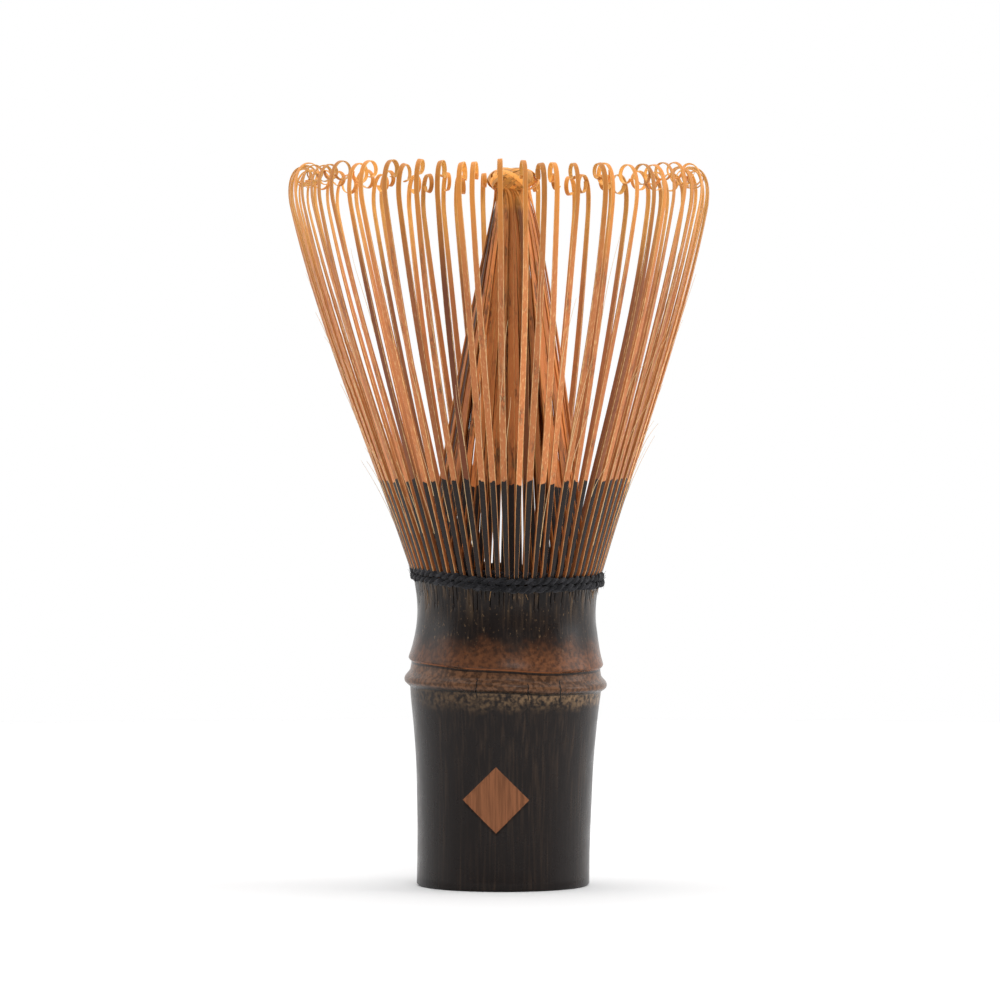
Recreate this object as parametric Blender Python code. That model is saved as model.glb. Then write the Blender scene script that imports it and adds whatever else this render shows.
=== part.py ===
"""Bamboo tea whisk (chasen) with 64 outer and 64 inner tines, modelled in metres, +Z up.

The origin is on the ground, under the middle of the ring of curled tips. The culm stands a
little to +X of it and grows with a slight natural bend, which CENTRE_LINE holds.

Pieces: the culm handle; two pairs of outer tines to each of 16 slats, each pair with its origin
on the line at its root about which it flexes; one comb of four inner tines to each slat; and the
lacing thread's three passes.
"""

import math

import bmesh
import bpy
import numpy as np

MM = 0.001

# The bundle of tines
SLATS = 16
PAIRS_PER_SLAT = 2
TINES_PER_PAIR = 2
TINES_PER_SLAT = PAIRS_PER_SLAT * TINES_PER_PAIR
TINE_PITCH = math.tau / (SLATS * TINES_PER_SLAT)
SLAT_HALF_TURN = math.pi / SLATS
FIRST_TINE = -math.pi / 2  # azimuth of the first outer tine, which faces -Y

# Middles, as (height, offset along +X): the culm and outer tines share one, and the tuft leans more
CENTRE_LINE = ((0.0, 0.7 * MM), (48.0 * MM, 1.35 * MM), (108.0 * MM, 0.0))
TUFT_LINE = ((48.0 * MM, 1.35 * MM), (108.0 * MM, 2.2 * MM))

# Culm handle, as (radius, height)
CULM_SIDES = 36
FOOT_BEVEL = 0.4 * MM
FOOT_RADIUS = 13.55 * MM
CULM_SKIN = (
    (13.7 * MM, 14.0 * MM),
    (14.2 * MM, 23.0 * MM),
    (14.9 * MM, 30.3 * MM),
    (15.75 * MM, 31.8 * MM),
    (15.7 * MM, 32.7 * MM),
    (14.95 * MM, 34.1 * MM),
    (15.2 * MM, 35.5 * MM),
    (14.6 * MM, 38.0 * MM),
    (14.05 * MM, 41.5 * MM),
    (14.05 * MM, 43.5 * MM),
)
RIM_RADIUS = 14.2 * MM
RIM_HEIGHT = 46.0 * MM
LOWER_BORE_RADIUS = 10.0 * MM
UPPER_BORE_RADIUS = 11.2 * MM
BORE_ROUND = 3.0 * MM  # where each bore's wall meets the diaphragm
DIAPHRAGM_BOTTOM = 31.5 * MM
DIAPHRAGM_TOP = 34.5 * MM
SPLIT_DEPTH = 2.4 * MM  # how far the splits between slats run down from the rim
SPLIT_WIDTH = 0.4 * MM

# Outer tines
GAP = 0.3 * MM  # between pieces that touch
HEEL_BOTTOM = RIM_HEIGHT + GAP
HEEL_TOP = 49.0 * MM
HEEL_SKIN = (14.15 * MM, 14.4 * MM)  # outer radius at the heel's bottom and top
FLEX_HEIGHT = 47.8 * MM  # the line about which a pair flexes
FLEX_RADIUS = 14.0 * MM
OUTER_ROOT = (15.25 * MM, 49.9 * MM, 0.32)  # radius, height and outward slope
OUTER_SHOULDER = (33.0 * MM, 106.9 * MM, 0.225)
OUTER_STATIONS = 4
OUTER_WIDTH = (0.85 * MM, 0.75 * MM)  # root and tip
OUTER_THICKNESS = (0.75 * MM, 0.3 * MM)
CURL_START_BEND = 17.0 * MM  # radius of the bend where the curl begins
CURL_END_BEND = 1.5 * MM
CURL_TIGHTENS_OVER = math.radians(19.0)
CURL_TURN = math.radians(300.0)
CURL_STATIONS = 9
STATION_SPREAD = 1.4  # above 1, the stations of a curl lie closer where it begins

# Inner tines
INNER_HEEL = (13.2 * MM, 1.6 * MM)  # outer radius and thickness
INNER_ROOT = (13.15 * MM, 50.0 * MM, -0.07)
INNER_NECK = (4.2 * MM, 107.0 * MM, -0.16)
INNER_STATIONS = 4
INNER_WIDTH = (0.5 * MM, 0.22 * MM)
INNER_THICKNESS = (0.8 * MM, 0.4 * MM)
COMB_CLEARANCE = 0.16 * MM
HOOK_BEND = 1.9 * MM
HOOK_RISE = 4.3 * MM
HOOK_TURN = math.radians(165.0)
HOOK_STATIONS = 4

# Lacing thread
STRAND_RADIUS = 15.05 * MM
STRAND_HEIGHTS = (47.0 * MM, 48.45 * MM)
STRAND_HALF = (0.32 * MM, 0.55 * MM)  # radial and vertical half size
INNER_STRAND = (13.95 * MM, 50.2 * MM, 0.22 * MM)  # ring radius, height, half size
STRAND_SIDES = 6
STRAND_STATIONS = 36

SMOOTH_ANGLE = math.radians(40.0)


def standing(points, line=CENTRE_LINE):
    """Points made about the Z axis, moved along +X on to a bent centre line."""
    heights, offsets = zip(*line)
    placed = np.array(points, float)
    placed[..., 0] += np.interp(placed[..., 2], heights, offsets)
    return placed


def material(name, colour, roughness):
    """A Principled material."""
    made = bpy.data.materials.new(name)
    made.use_nodes = True
    shader = made.node_tree.nodes["Principled BSDF"]
    shader.inputs["Base Color"].default_value = (*colour, 1.0)
    shader.inputs["Roughness"].default_value = roughness
    shader.inputs["Metallic"].default_value = 0.0
    return made


def add_piece(name, shape, finish, origin=(0.0, 0.0, 0.0)):
    """Makes an object from a bmesh, with its origin where it turns."""
    bmesh.ops.recalc_face_normals(shape, faces=shape.faces[:])
    bmesh.ops.translate(shape, verts=shape.verts[:], vec=[-value for value in origin])
    mesh = bpy.data.meshes.new(name)
    shape.to_mesh(mesh)
    shape.free()
    mesh.materials.append(finish)
    mesh.shade_smooth()
    mesh.set_sharp_from_angle(angle=SMOOTH_ANGLE)
    piece = bpy.data.objects.new(name, mesh)
    piece.location = origin
    bpy.context.scene.collection.objects.link(piece)
    return piece


def culm_outline():
    """Radius and height from the diaphragm's upper middle, over the rim and foot, to its lower middle."""
    corner = np.linspace(0.0, math.pi / 2, 4)
    upper = [
        (
            UPPER_BORE_RADIUS - BORE_ROUND * (1 - math.sin(turn)),
            DIAPHRAGM_TOP + BORE_ROUND * (1 - math.cos(turn)),
        )
        for turn in corner
    ]
    lower = [
        (
            LOWER_BORE_RADIUS - BORE_ROUND * (1 - math.cos(turn)),
            DIAPHRAGM_BOTTOM - BORE_ROUND * (1 - math.sin(turn)),
        )
        for turn in corner
    ]
    return [
        (0.0, DIAPHRAGM_TOP),
        *upper,
        (UPPER_BORE_RADIUS, RIM_HEIGHT),
        (RIM_RADIUS, RIM_HEIGHT),
        *reversed(CULM_SKIN),
        (FOOT_RADIUS, FOOT_BEVEL),
        (FOOT_RADIUS - FOOT_BEVEL, 0.0),
        (LOWER_BORE_RADIUS, 0.0),
        *lower,
        (0.0, DIAPHRAGM_BOTTOM),
    ]


def split_blades():
    """Sixteen thin radial blades, one in each split between two slats."""
    shape = bmesh.new()
    inner, outer = UPPER_BORE_RADIUS - 1.0 * MM, RIM_RADIUS + 1.0 * MM
    for slat in range(SLATS):
        turn = FIRST_TINE + (slat * TINES_PER_SLAT - 0.5) * TINE_PITCH
        along = np.array([math.cos(turn), math.sin(turn), 0.0])
        across = np.array([-math.sin(turn), math.cos(turn), 0.0]) * SPLIT_WIDTH / 2
        bottom = np.array([0.0, 0.0, RIM_HEIGHT - SPLIT_DEPTH])
        top = np.array([0.0, 0.0, RIM_HEIGHT + 1.0 * MM])
        corners = [
            shape.verts.new(standing(along * reach + across * side + level))
            for level in (bottom, top)
            for reach, side in ((inner, -1), (outer, -1), (outer, 1), (inner, 1))
        ]
        shape.faces.new(corners[3::-1])
        shape.faces.new(corners[4:])
        for near in range(4):
            far = (near + 1) % 4
            shape.faces.new([corners[index] for index in (near, far, far + 4, near + 4)])
    return shape


def add_culm(finish):
    """The handle: a turned culm with its diaphragm, its rim split into slats."""
    shape = bmesh.new()
    points = [shape.verts.new((radius, 0.0, height)) for radius, height in culm_outline()]
    edges = [shape.edges.new(ends) for ends in zip(points, points[1:])]
    bmesh.ops.spin(
        shape,
        geom=points + edges,
        axis=(0.0, 0.0, 1.0),
        cent=(0.0, 0.0, 0.0),
        steps=CULM_SIDES,
        angle=math.tau,
        use_merge=True,
    )
    bmesh.ops.remove_doubles(shape, verts=shape.verts[:], dist=0.001 * MM)
    for point in shape.verts:
        point.co = standing(point.co)
    culm = add_piece("culm_handle", shape, finish)
    blades = add_piece("culm_split_blades", split_blades(), finish)
    blades.hide_render = True
    blades.display_type = "WIRE"
    splits = culm.modifiers.new("splits", "BOOLEAN")
    splits.object = blades
    splits.operation = "DIFFERENCE"
    splits.solver = "EXACT"


def hermite(start, end, count):
    """Radius, height and lean along a smooth curve between two (radius, height, slope) ends."""
    (radius_a, height_a, slope_a), (radius_b, height_b, slope_b) = start, end
    t = np.linspace(0.0, 1.0, count)
    rise = height_b - height_a
    radius = (
        (2 * t**3 - 3 * t**2 + 1) * radius_a
        + (t**3 - 2 * t**2 + t) * rise * slope_a
        + (3 * t**2 - 2 * t**3) * radius_b
        + (t**3 - t**2) * rise * slope_b
    )
    slope = (
        (6 * t**2 - 6 * t) * (radius_a - radius_b) / rise
        + (3 * t**2 - 4 * t + 1) * slope_a
        + (3 * t**2 - 2 * t) * slope_b
    )
    return radius, height_a + rise * t, np.arctan(slope)


def curl(radius, height, lean, bend, turn, count):
    """Radius, height and lean round a curl that starts here, where bend gives its radius at each turn."""
    fine = 60 * count
    turned = np.linspace(0.0, turn, fine + 1)
    leans = lean - turned
    steps = np.diff(turned) * bend((turned[1:] + turned[:-1]) / 2)
    middle = (leans[1:] + leans[:-1]) / 2
    radii = radius + np.concatenate([[0.0], np.cumsum(steps * np.sin(middle))])
    heights = height + np.concatenate([[0.0], np.cumsum(steps * np.cos(middle))])
    kept = np.round(fine * (np.arange(1, count + 1) / count) ** STATION_SPREAD).astype(int)
    return radii[kept], heights[kept], leans[kept]


def outer_bend(turned):
    """The outer curl's radius, which tightens as it turns."""
    spare = CURL_START_BEND - CURL_END_BEND
    return CURL_END_BEND + spare * np.exp(-turned / CURL_TIGHTENS_OVER)


def hook_bend(turned):
    """The inner tine's hook has one radius all round."""
    return np.full_like(turned, HOOK_BEND)


def outer_tine_line():
    """Radius, height and lean of an outer tine's skin, from the heel's bottom to the curl's end."""
    straight = hermite(OUTER_ROOT, OUTER_SHOULDER, OUTER_STATIONS)
    end = [values[-1] for values in straight]
    curled = curl(*end, outer_bend, CURL_TURN, CURL_STATIONS)
    heel = (np.array(HEEL_SKIN), np.array([HEEL_BOTTOM, HEEL_TOP]), np.zeros(2))
    return [np.concatenate(parts) for parts in zip(heel, straight, curled)]


def inner_tine_line():
    """Radius, height and lean of an inner tine's skin, from the heel's bottom to the hook's end."""
    straight = hermite(INNER_ROOT, INNER_NECK, INNER_STATIONS)
    radius, height = straight[0][-1], straight[1][-1]
    rise = (np.array([radius]), np.array([height + HOOK_RISE]), np.zeros(1))
    hooked = curl(radius, height + HOOK_RISE, 0.0, hook_bend, HOOK_TURN, HOOK_STATIONS)
    heel = (np.full(2, INNER_HEEL[0]), np.array([HEEL_BOTTOM, HEEL_TOP]), np.zeros(2))
    return [np.concatenate(parts) for parts in zip(heel, straight, rise, hooked)]


def sheet_corners(radius, height, turns, line):
    """Points round the centre line at each row's radius and height and each edge's azimuth."""
    rows = np.broadcast_to(radius[:, None], turns.shape)
    heights = np.broadcast_to(height[:, None], turns.shape)
    points = np.stack([rows * np.cos(turns), rows * np.sin(turns), heights], axis=-1)
    return standing(points, line)


def two_sides(radius, height, lean, thickness, turns, line):
    """The skin's corners and the corners one thickness behind them."""
    skin = sheet_corners(radius, height, turns, line)
    inner_radius = radius - thickness * np.cos(lean)
    inner_height = height + thickness * np.sin(lean)
    return skin, sheet_corners(inner_radius, inner_height, turns, line)


def slotted_sheet(skin, back, solid):
    """One closed body between two grids of corners, with a slot through it at each cell that isn't solid."""
    shape = bmesh.new()
    corners = {}

    def corner(side, row, edge):
        if (side, row, edge) not in corners:
            corners[side, row, edge] = shape.verts.new((skin, back)[side][row, edge])
        return corners[side, row, edge]

    def is_solid(row, column):
        inside = 0 <= row < solid.shape[0] and 0 <= column < solid.shape[1]
        return inside and solid[row, column]

    for row, column in np.argwhere(solid):
        ring = ((row, column), (row, column + 1), (row + 1, column + 1), (row + 1, column))
        shape.faces.new([corner(0, *place) for place in ring])
        shape.faces.new([corner(1, *place) for place in reversed(ring)])
        beyond = ((row - 1, column), (row, column + 1), (row + 1, column), (row, column - 1))
        for start, end, cell in zip(ring, ring[1:] + ring[:1], beyond):
            if not is_solid(*cell):
                wall = (corner(0, *end), corner(0, *start), corner(1, *start), corner(1, *end))
                shape.faces.new(wall)
    return shape


def comb_edges(middle, tine_turns, half_tines, half_comb):
    """Azimuths of a comb's edges in each row, from its first tine's near side to its last one's far side."""
    edges = []
    for turn in tine_turns:
        edges += [turn - half_tines, turn + half_tines]
    edges = np.stack(edges, axis=-1)
    heel = ~np.isnan(half_comb)
    edges[heel, 0] = -half_comb[heel]
    edges[heel, -1] = half_comb[heel]
    return middle + edges


def add_outer_pair(name, middle, finish):
    """Two outer tines on one heel, with its origin on the line about which it flexes."""
    radius, height, lean = outer_tine_line()
    rows = len(radius)
    along = np.clip((height - HEEL_TOP) / (OUTER_SHOULDER[1] - HEEL_TOP), 0.0, 1.0)
    along[2 + OUTER_STATIONS :] = 1.0
    thickness = np.interp(along, (0, 1), OUTER_THICKNESS)
    width = np.interp(along, (0, 1), OUTER_WIDTH)
    half_comb = np.full(rows, np.nan)
    half_comb[:2] = TINE_PITCH - GAP / 2 / radius[:2]
    turns = comb_edges(
        middle, (-TINE_PITCH / 2, TINE_PITCH / 2), width / 2 / radius, half_comb
    )
    skin, back = two_sides(radius, height, lean, thickness, turns, CENTRE_LINE)
    solid = np.ones((rows - 1, 3), bool)
    solid[1:, 1] = False
    origin = standing(
        [FLEX_RADIUS * math.cos(middle), FLEX_RADIUS * math.sin(middle), FLEX_HEIGHT]
    )
    return add_piece(name, slotted_sheet(skin, back, solid), finish, origin)


def add_inner_comb(name, middle, finish):
    """Four inner tines on one heel, joined again where their hooked tips lock into the knot."""
    radius, height, lean = inner_tine_line()
    rows = len(radius)
    neck = 2 + INNER_STATIONS
    along = np.clip((height - HEEL_TOP) / (INNER_NECK[1] - HEEL_TOP), 0.0, 1.0)
    thickness = np.interp(along, (0, 1), INNER_THICKNESS)
    thickness[:2] = INNER_HEEL[1]
    width = np.interp(along, (0, 1), INNER_WIDTH)
    joined = np.r_[0:2, neck:rows]
    half_comb = np.full(rows, np.nan)
    nearest = np.minimum(radius, radius - thickness * np.cos(lean))
    half_comb[joined] = SLAT_HALF_TURN - COMB_CLEARANCE / 2 / nearest[joined]
    half_tines = width / 2 / radius
    half_tines[neck:] = TINE_PITCH / 4
    tine_turns = (np.arange(TINES_PER_SLAT) - (TINES_PER_SLAT - 1) / 2) * TINE_PITCH
    turns = comb_edges(middle, tine_turns, half_tines, half_comb)
    skin, back = two_sides(radius, height, lean, thickness, turns, TUFT_LINE)
    solid = np.ones((rows - 1, 2 * TINES_PER_SLAT - 1), bool)
    solid[1 : neck - 1, 1::2] = False
    return add_piece(name, slotted_sheet(skin, back, solid), finish)


def add_strand(name, ring_radius, height, half_size, finish):
    """One pass of the lacing thread: a ring of oval section."""
    shape = bmesh.new()
    around = np.linspace(0.0, math.tau, STRAND_STATIONS, endpoint=False)
    section = np.linspace(0.0, math.tau, STRAND_SIDES, endpoint=False)
    radii = ring_radius + half_size[0] * np.cos(section)
    heights = height + half_size[1] * np.sin(section)
    turns = np.broadcast_to(around[:, None], (STRAND_STATIONS, STRAND_SIDES))
    points = np.stack(
        [radii * np.cos(turns), radii * np.sin(turns), np.broadcast_to(heights, turns.shape)], axis=-1
    )
    rings = [[shape.verts.new(point) for point in ring] for ring in standing(points)]
    for near, far in zip(rings, rings[1:] + rings[:1]):
        for side in range(STRAND_SIDES):
            beside = (side + 1) % STRAND_SIDES
            shape.faces.new((near[side], far[side], far[beside], near[beside]))
    return add_piece(name, shape, finish)


def main():
    """Clears the scene, then adds the culm, the tines of each slat and the lacing."""
    for old in list(bpy.data.objects):
        bpy.data.objects.remove(old)
    smoked_skin = material("smoked_bamboo_skin", (0.030, 0.022, 0.018), 0.42)
    outer_bamboo = material("outer_tine_bamboo", (0.48, 0.18, 0.07), 0.45)
    inner_bamboo = material("inner_tine_bamboo", (0.20, 0.08, 0.035), 0.5)
    black_thread = material("black_cotton_thread", (0.02, 0.02, 0.022), 0.9)

    add_culm(smoked_skin)
    for slat in range(SLATS):
        for pair in range(PAIRS_PER_SLAT):
            first = slat * TINES_PER_SLAT + pair * TINES_PER_PAIR
            middle = FIRST_TINE + (first + 0.5) * TINE_PITCH
            add_outer_pair(f"outer_tines_{slat + 1:02d}{'ab'[pair]}", middle, outer_bamboo)
        middle = FIRST_TINE + (slat * TINES_PER_SLAT + TINES_PER_SLAT / 2) * TINE_PITCH
        add_inner_comb(f"inner_tines_{slat + 1:02d}", middle, inner_bamboo)
    for name, height in zip(("lacing_lower_strand", "lacing_upper_strand"), STRAND_HEIGHTS):
        add_strand(name, STRAND_RADIUS, height, STRAND_HALF, black_thread)
    ring_radius, height, half_size = INNER_STRAND
    add_strand("lacing_inner_strand", ring_radius, height, (half_size, half_size), black_thread)


main()
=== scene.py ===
"""Looks of a bamboo tea whisk: smoked culm, curled outer tines, knotted inner tuft and black lacing.

Everything is in metres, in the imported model's own frame: +Z up the culm, -Y the front of the
handle. Shapes are computed as whole numpy arrays, one row of numbers to each tine or turn.
"""

import enum
import functools
import logging
import math
from dataclasses import dataclass

import bpy
import numpy as np
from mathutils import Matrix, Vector


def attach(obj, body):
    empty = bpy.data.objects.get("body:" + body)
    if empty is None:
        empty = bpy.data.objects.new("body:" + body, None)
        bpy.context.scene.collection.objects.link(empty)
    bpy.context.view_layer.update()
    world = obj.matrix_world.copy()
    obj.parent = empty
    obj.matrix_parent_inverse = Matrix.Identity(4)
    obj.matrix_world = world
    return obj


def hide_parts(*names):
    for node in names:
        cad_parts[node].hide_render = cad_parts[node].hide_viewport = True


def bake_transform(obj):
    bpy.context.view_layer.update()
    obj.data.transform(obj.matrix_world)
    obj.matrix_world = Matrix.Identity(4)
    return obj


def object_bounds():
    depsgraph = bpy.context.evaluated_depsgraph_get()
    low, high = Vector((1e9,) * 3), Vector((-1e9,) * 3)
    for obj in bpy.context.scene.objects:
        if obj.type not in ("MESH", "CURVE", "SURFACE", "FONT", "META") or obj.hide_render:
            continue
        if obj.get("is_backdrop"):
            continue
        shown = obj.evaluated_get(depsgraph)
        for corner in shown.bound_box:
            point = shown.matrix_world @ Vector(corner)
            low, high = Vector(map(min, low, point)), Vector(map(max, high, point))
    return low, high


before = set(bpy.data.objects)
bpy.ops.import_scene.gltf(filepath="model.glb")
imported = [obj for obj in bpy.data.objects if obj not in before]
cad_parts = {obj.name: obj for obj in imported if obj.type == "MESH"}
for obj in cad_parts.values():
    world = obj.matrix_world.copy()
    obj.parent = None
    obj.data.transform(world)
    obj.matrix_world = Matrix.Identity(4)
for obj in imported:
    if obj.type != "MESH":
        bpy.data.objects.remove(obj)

LOG = logging.getLogger("whisk")
MM = 0.001
ROOT_BODY = "handle"
FRONT = -math.pi / 2  # azimuth of the front of the handle


def mm(*lengths: float) -> tuple:
    """Lengths in millimetres, as metres."""
    return tuple(length * MM for length in lengths)


SLATS = 16
TINES_PER_SLAT = 4
TINES = SLATS * TINES_PER_SLAT
PITCH = math.tau / TINES
UP = np.array([0.0, 0.0, 1.0])
# Middle lines, as (height, offset along +X)
CULM_LINE = (mm(0.0, 0.7), mm(48.0, 1.35), mm(108.0, 0.0))
TUFT_LINE = (mm(48.0, 1.35), mm(108.0, 2.2))
WHITE = (1.0, 1.0, 1.0)

Colour = tuple[float, float, float]
Pair = tuple[float, float]
Line = tuple[Pair, ...]
Socket = bpy.types.NodeSocket
Value = bpy.types.NodeSocket | float | tuple[float, ...]
Number = np.ndarray | float


class Slot(enum.Enum):
    """The record's material slots."""

    SKIN = "smoked_skin"
    OUTER = "outer_bamboo"
    INNER = "inner_bamboo"
    THREAD = "black_thread"


class Part(enum.Enum):
    """Which of the bamboo's surfaces a face is, as its "cut" attribute says."""

    SKIN = 0.0
    FIBRE = 0.25
    ARRIS = 0.5
    CUT = 1.0


# --- Numbers along a curve -------------------------------------------------------------------


def smoothstep(low: float, high: float, value: np.ndarray) -> np.ndarray:
    """Rises from 0 at low to 1 at high, as 3t^2 - 2t^3.

    Args:
        low: Where the rise starts.
        high: Where it ends.
        value: Where it is wanted.

    Returns:
        Numbers from 0 to 1, in value's shape.
    """
    t = np.clip((value - low) / (high - low), 0.0, 1.0)
    return t * t * (3.0 - 2.0 * t)


def cubic(t: np.ndarray, first: Number, last: Number, start: Number, end: Number) -> np.ndarray:
    """The cubic of t from 0 to 1 that has these two values and these two slopes at its ends.

    Args:
        t: Where it is wanted.
        first: Its value at 0.
        last: Its value at 1.
        start: Its slope at 0.
        end: Its slope at 1.

    Returns:
        The cubic's values.
    """
    return (
        (2 * t**3 - 3 * t**2 + 1) * first
        + (t**3 - 2 * t**2 + t) * start
        + (3 * t**2 - 2 * t**3) * last
        + (t**3 - t**2) * end
    )


def through(keys: np.ndarray | Line, at: np.ndarray) -> np.ndarray:
    """A smooth curve through (place, value) keys.

    Between two keys it is the cubic whose slope at each key is that of the parabola through the
    key and its two neighbours.

    Args:
        keys: Places in rising order, and values, as an (n, 2) array.
        at: Places to read, within the keys' range.

    Returns:
        The curve's values there.
    """
    place, value = np.asarray(keys, float).T
    slope = np.gradient(value, place)
    left = np.clip(np.searchsorted(place, at, side="right") - 1, 0, len(place) - 2)
    span = place[left + 1] - place[left]
    t = np.clip((at - place[left]) / span, 0.0, 1.0)
    return cubic(t, value[left], value[left + 1], span * slope[left], span * slope[left + 1])


def unit(vectors: np.ndarray) -> np.ndarray:
    """The same directions at length 1, for an array whose last axis is x, y, z."""
    return vectors / np.maximum(np.linalg.norm(vectors, axis=-1, keepdims=True), 1e-12)


def spokes(azimuth: np.ndarray) -> np.ndarray:
    """Level directions of length 1 at these azimuths, with x, y, z on a new last axis."""
    return np.stack([np.cos(azimuth), np.sin(azimuth), np.zeros_like(azimuth)], axis=-1)


def around(radius: np.ndarray, azimuth: np.ndarray, height: np.ndarray, line: Line) -> np.ndarray:
    """Points round the whisk's middle, which bends along +X as line says.

    Args:
        radius: Distances from the middle.
        azimuth: Angles round it, 0 along +X.
        height: Heights above the ground.
        line: The middle's (height, offset along +X) points.

    Returns:
        Points, with x, y, z on a new last axis.
    """
    heights, offsets = zip(*line)
    radius, azimuth, height = np.broadcast_arrays(radius, azimuth, height)
    across = np.interp(height, heights, offsets) + radius * np.cos(azimuth)
    return np.stack([across, radius * np.sin(azimuth), height], axis=-1)


# --- Meshes ----------------------------------------------------------------------------------


@dataclass
class Shell:
    """Points with the faces between them, and the numbers that materials read from them."""

    points: np.ndarray
    faces: list[np.ndarray]
    face_data: dict[str, list[np.ndarray]]
    point_data: dict[str, np.ndarray]

    def outward(self) -> "Shell":
        """This shell with its faces turned outwards.

        Returns:
            The shell itself, or one whose faces run the other way round.
        """
        if volume_of(self.points - self.points.mean(axis=0), self.faces) > 0:
            return self
        turned = [block[:, ::-1] for block in self.faces]
        return Shell(self.points, turned, self.face_data, self.point_data)

    def joined(self, other: "Shell") -> "Shell":
        """Both shells as one, each turned outwards.

        Args:
            other: The shell whose points come last. It has at least this one's numbers.

        Returns:
            The new shell, with this one's numbers.
        """
        moved = [block + len(self.points) for block in other.outward().faces]
        on_faces = {name: blocks + other.face_data[name] for name, blocks in self.face_data.items()}
        on_points = {
            name: np.concatenate([values, other.point_data[name]])
            for name, values in self.point_data.items()
        }
        points = np.concatenate([self.points, other.points])
        return Shell(points, self.outward().faces + moved, on_faces, on_points)


def volume_of(points: np.ndarray, faces: list[np.ndarray]) -> float:
    """Six times the volume inside the faces, negative if they face inwards.

    It is the sum, over the triangles that fan out from each face's first corner, of the
    determinant of their three corners.

    Args:
        points: The points.
        faces: Blocks of faces, each block with one number of corners.

    Returns:
        The sum.
    """
    total = 0.0
    for block in faces:
        for second in range(1, block.shape[1] - 1):
            total += np.linalg.det(points[block[:, [0, second, second + 1]]]).sum()
    return total


def add_piece(name: str, shell: Shell, finish: bpy.types.Material, sharp_deg: float) -> bpy.types.Object:
    """Makes a shell an object at the origin, with its faces turned outwards.

    Args:
        name: The piece's name.
        shell: Its points, faces and numbers.
        finish: Its material.
        sharp_deg: Edges that turn more than this stay sharp; the rest are shaded smooth.

    Returns:
        The new object, linked to the scene.
    """
    faces = shell.outward().faces
    sizes = np.concatenate([np.full(len(block), block.shape[1]) for block in faces])
    corners = np.concatenate([block.ravel() for block in faces]).astype(np.int32)
    mesh = bpy.data.meshes.new(name)
    mesh.vertices.add(len(shell.points))
    mesh.vertices.foreach_set("co", shell.points.astype(np.float32).ravel())
    mesh.loops.add(len(corners))
    mesh.loops.foreach_set("vertex_index", corners)
    mesh.polygons.add(len(sizes))
    mesh.polygons.foreach_set("loop_start", (np.cumsum(sizes) - sizes).astype(np.int32))
    mesh.update(calc_edges=True)
    numbers = [(label, "FACE", np.concatenate(blocks)) for label, blocks in shell.face_data.items()]
    numbers += [(label, "POINT", values) for label, values in shell.point_data.items()]
    for label, domain, values in numbers:
        attribute = mesh.attributes.new(label, "FLOAT", domain)
        attribute.data.foreach_set("value", values.astype(np.float32))
    mesh.shade_smooth()
    mesh.set_sharp_from_angle(angle=math.radians(sharp_deg))
    mesh.materials.append(finish)
    piece = bpy.data.objects.new(name, mesh)
    bpy.context.scene.collection.objects.link(piece)
    LOG.info("%s: %d points, %d faces", name, len(shell.points), len(sizes))
    return piece


def swept(
    path: np.ndarray,
    facing: np.ndarray,
    half_width: np.ndarray,
    half_depth: np.ndarray,
    section: np.ndarray,
    twist: np.ndarray | float = 0.0,
) -> np.ndarray:
    """Carries a section along many paths at once.

    At each station the width lies along the cross product of the path's direction and the way
    that the ribbon faces, and the depth lies square to both. twist turns the two about the path.

    Args:
        path: Stations, as (paths, stations, 3).
        facing: Which way the ribbon's skin faces, in path's shape.
        half_width: Half widths, as (paths, stations).
        half_depth: Half depths, in the same shape.
        section: The section's corners, as (corners, 2) of width and depth from -1 to 1.
        twist: Angles about the path.

    Returns:
        Points, as (paths, stations, corners, 3).
    """
    along = unit(np.gradient(path, axis=-2))
    across = unit(np.cross(along, facing))
    out = np.cross(across, along)
    twist = np.broadcast_to(twist, half_width.shape)[..., None]
    turned_across = across * np.cos(twist) + out * np.sin(twist)
    turned_out = out * np.cos(twist) - across * np.sin(twist)
    wide = half_width[..., None, None] * section[:, 0, None] * turned_across[..., None, :]
    deep = half_depth[..., None, None] * section[:, 1, None] * turned_out[..., None, :]
    return path[..., None, :] + wide + deep


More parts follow.
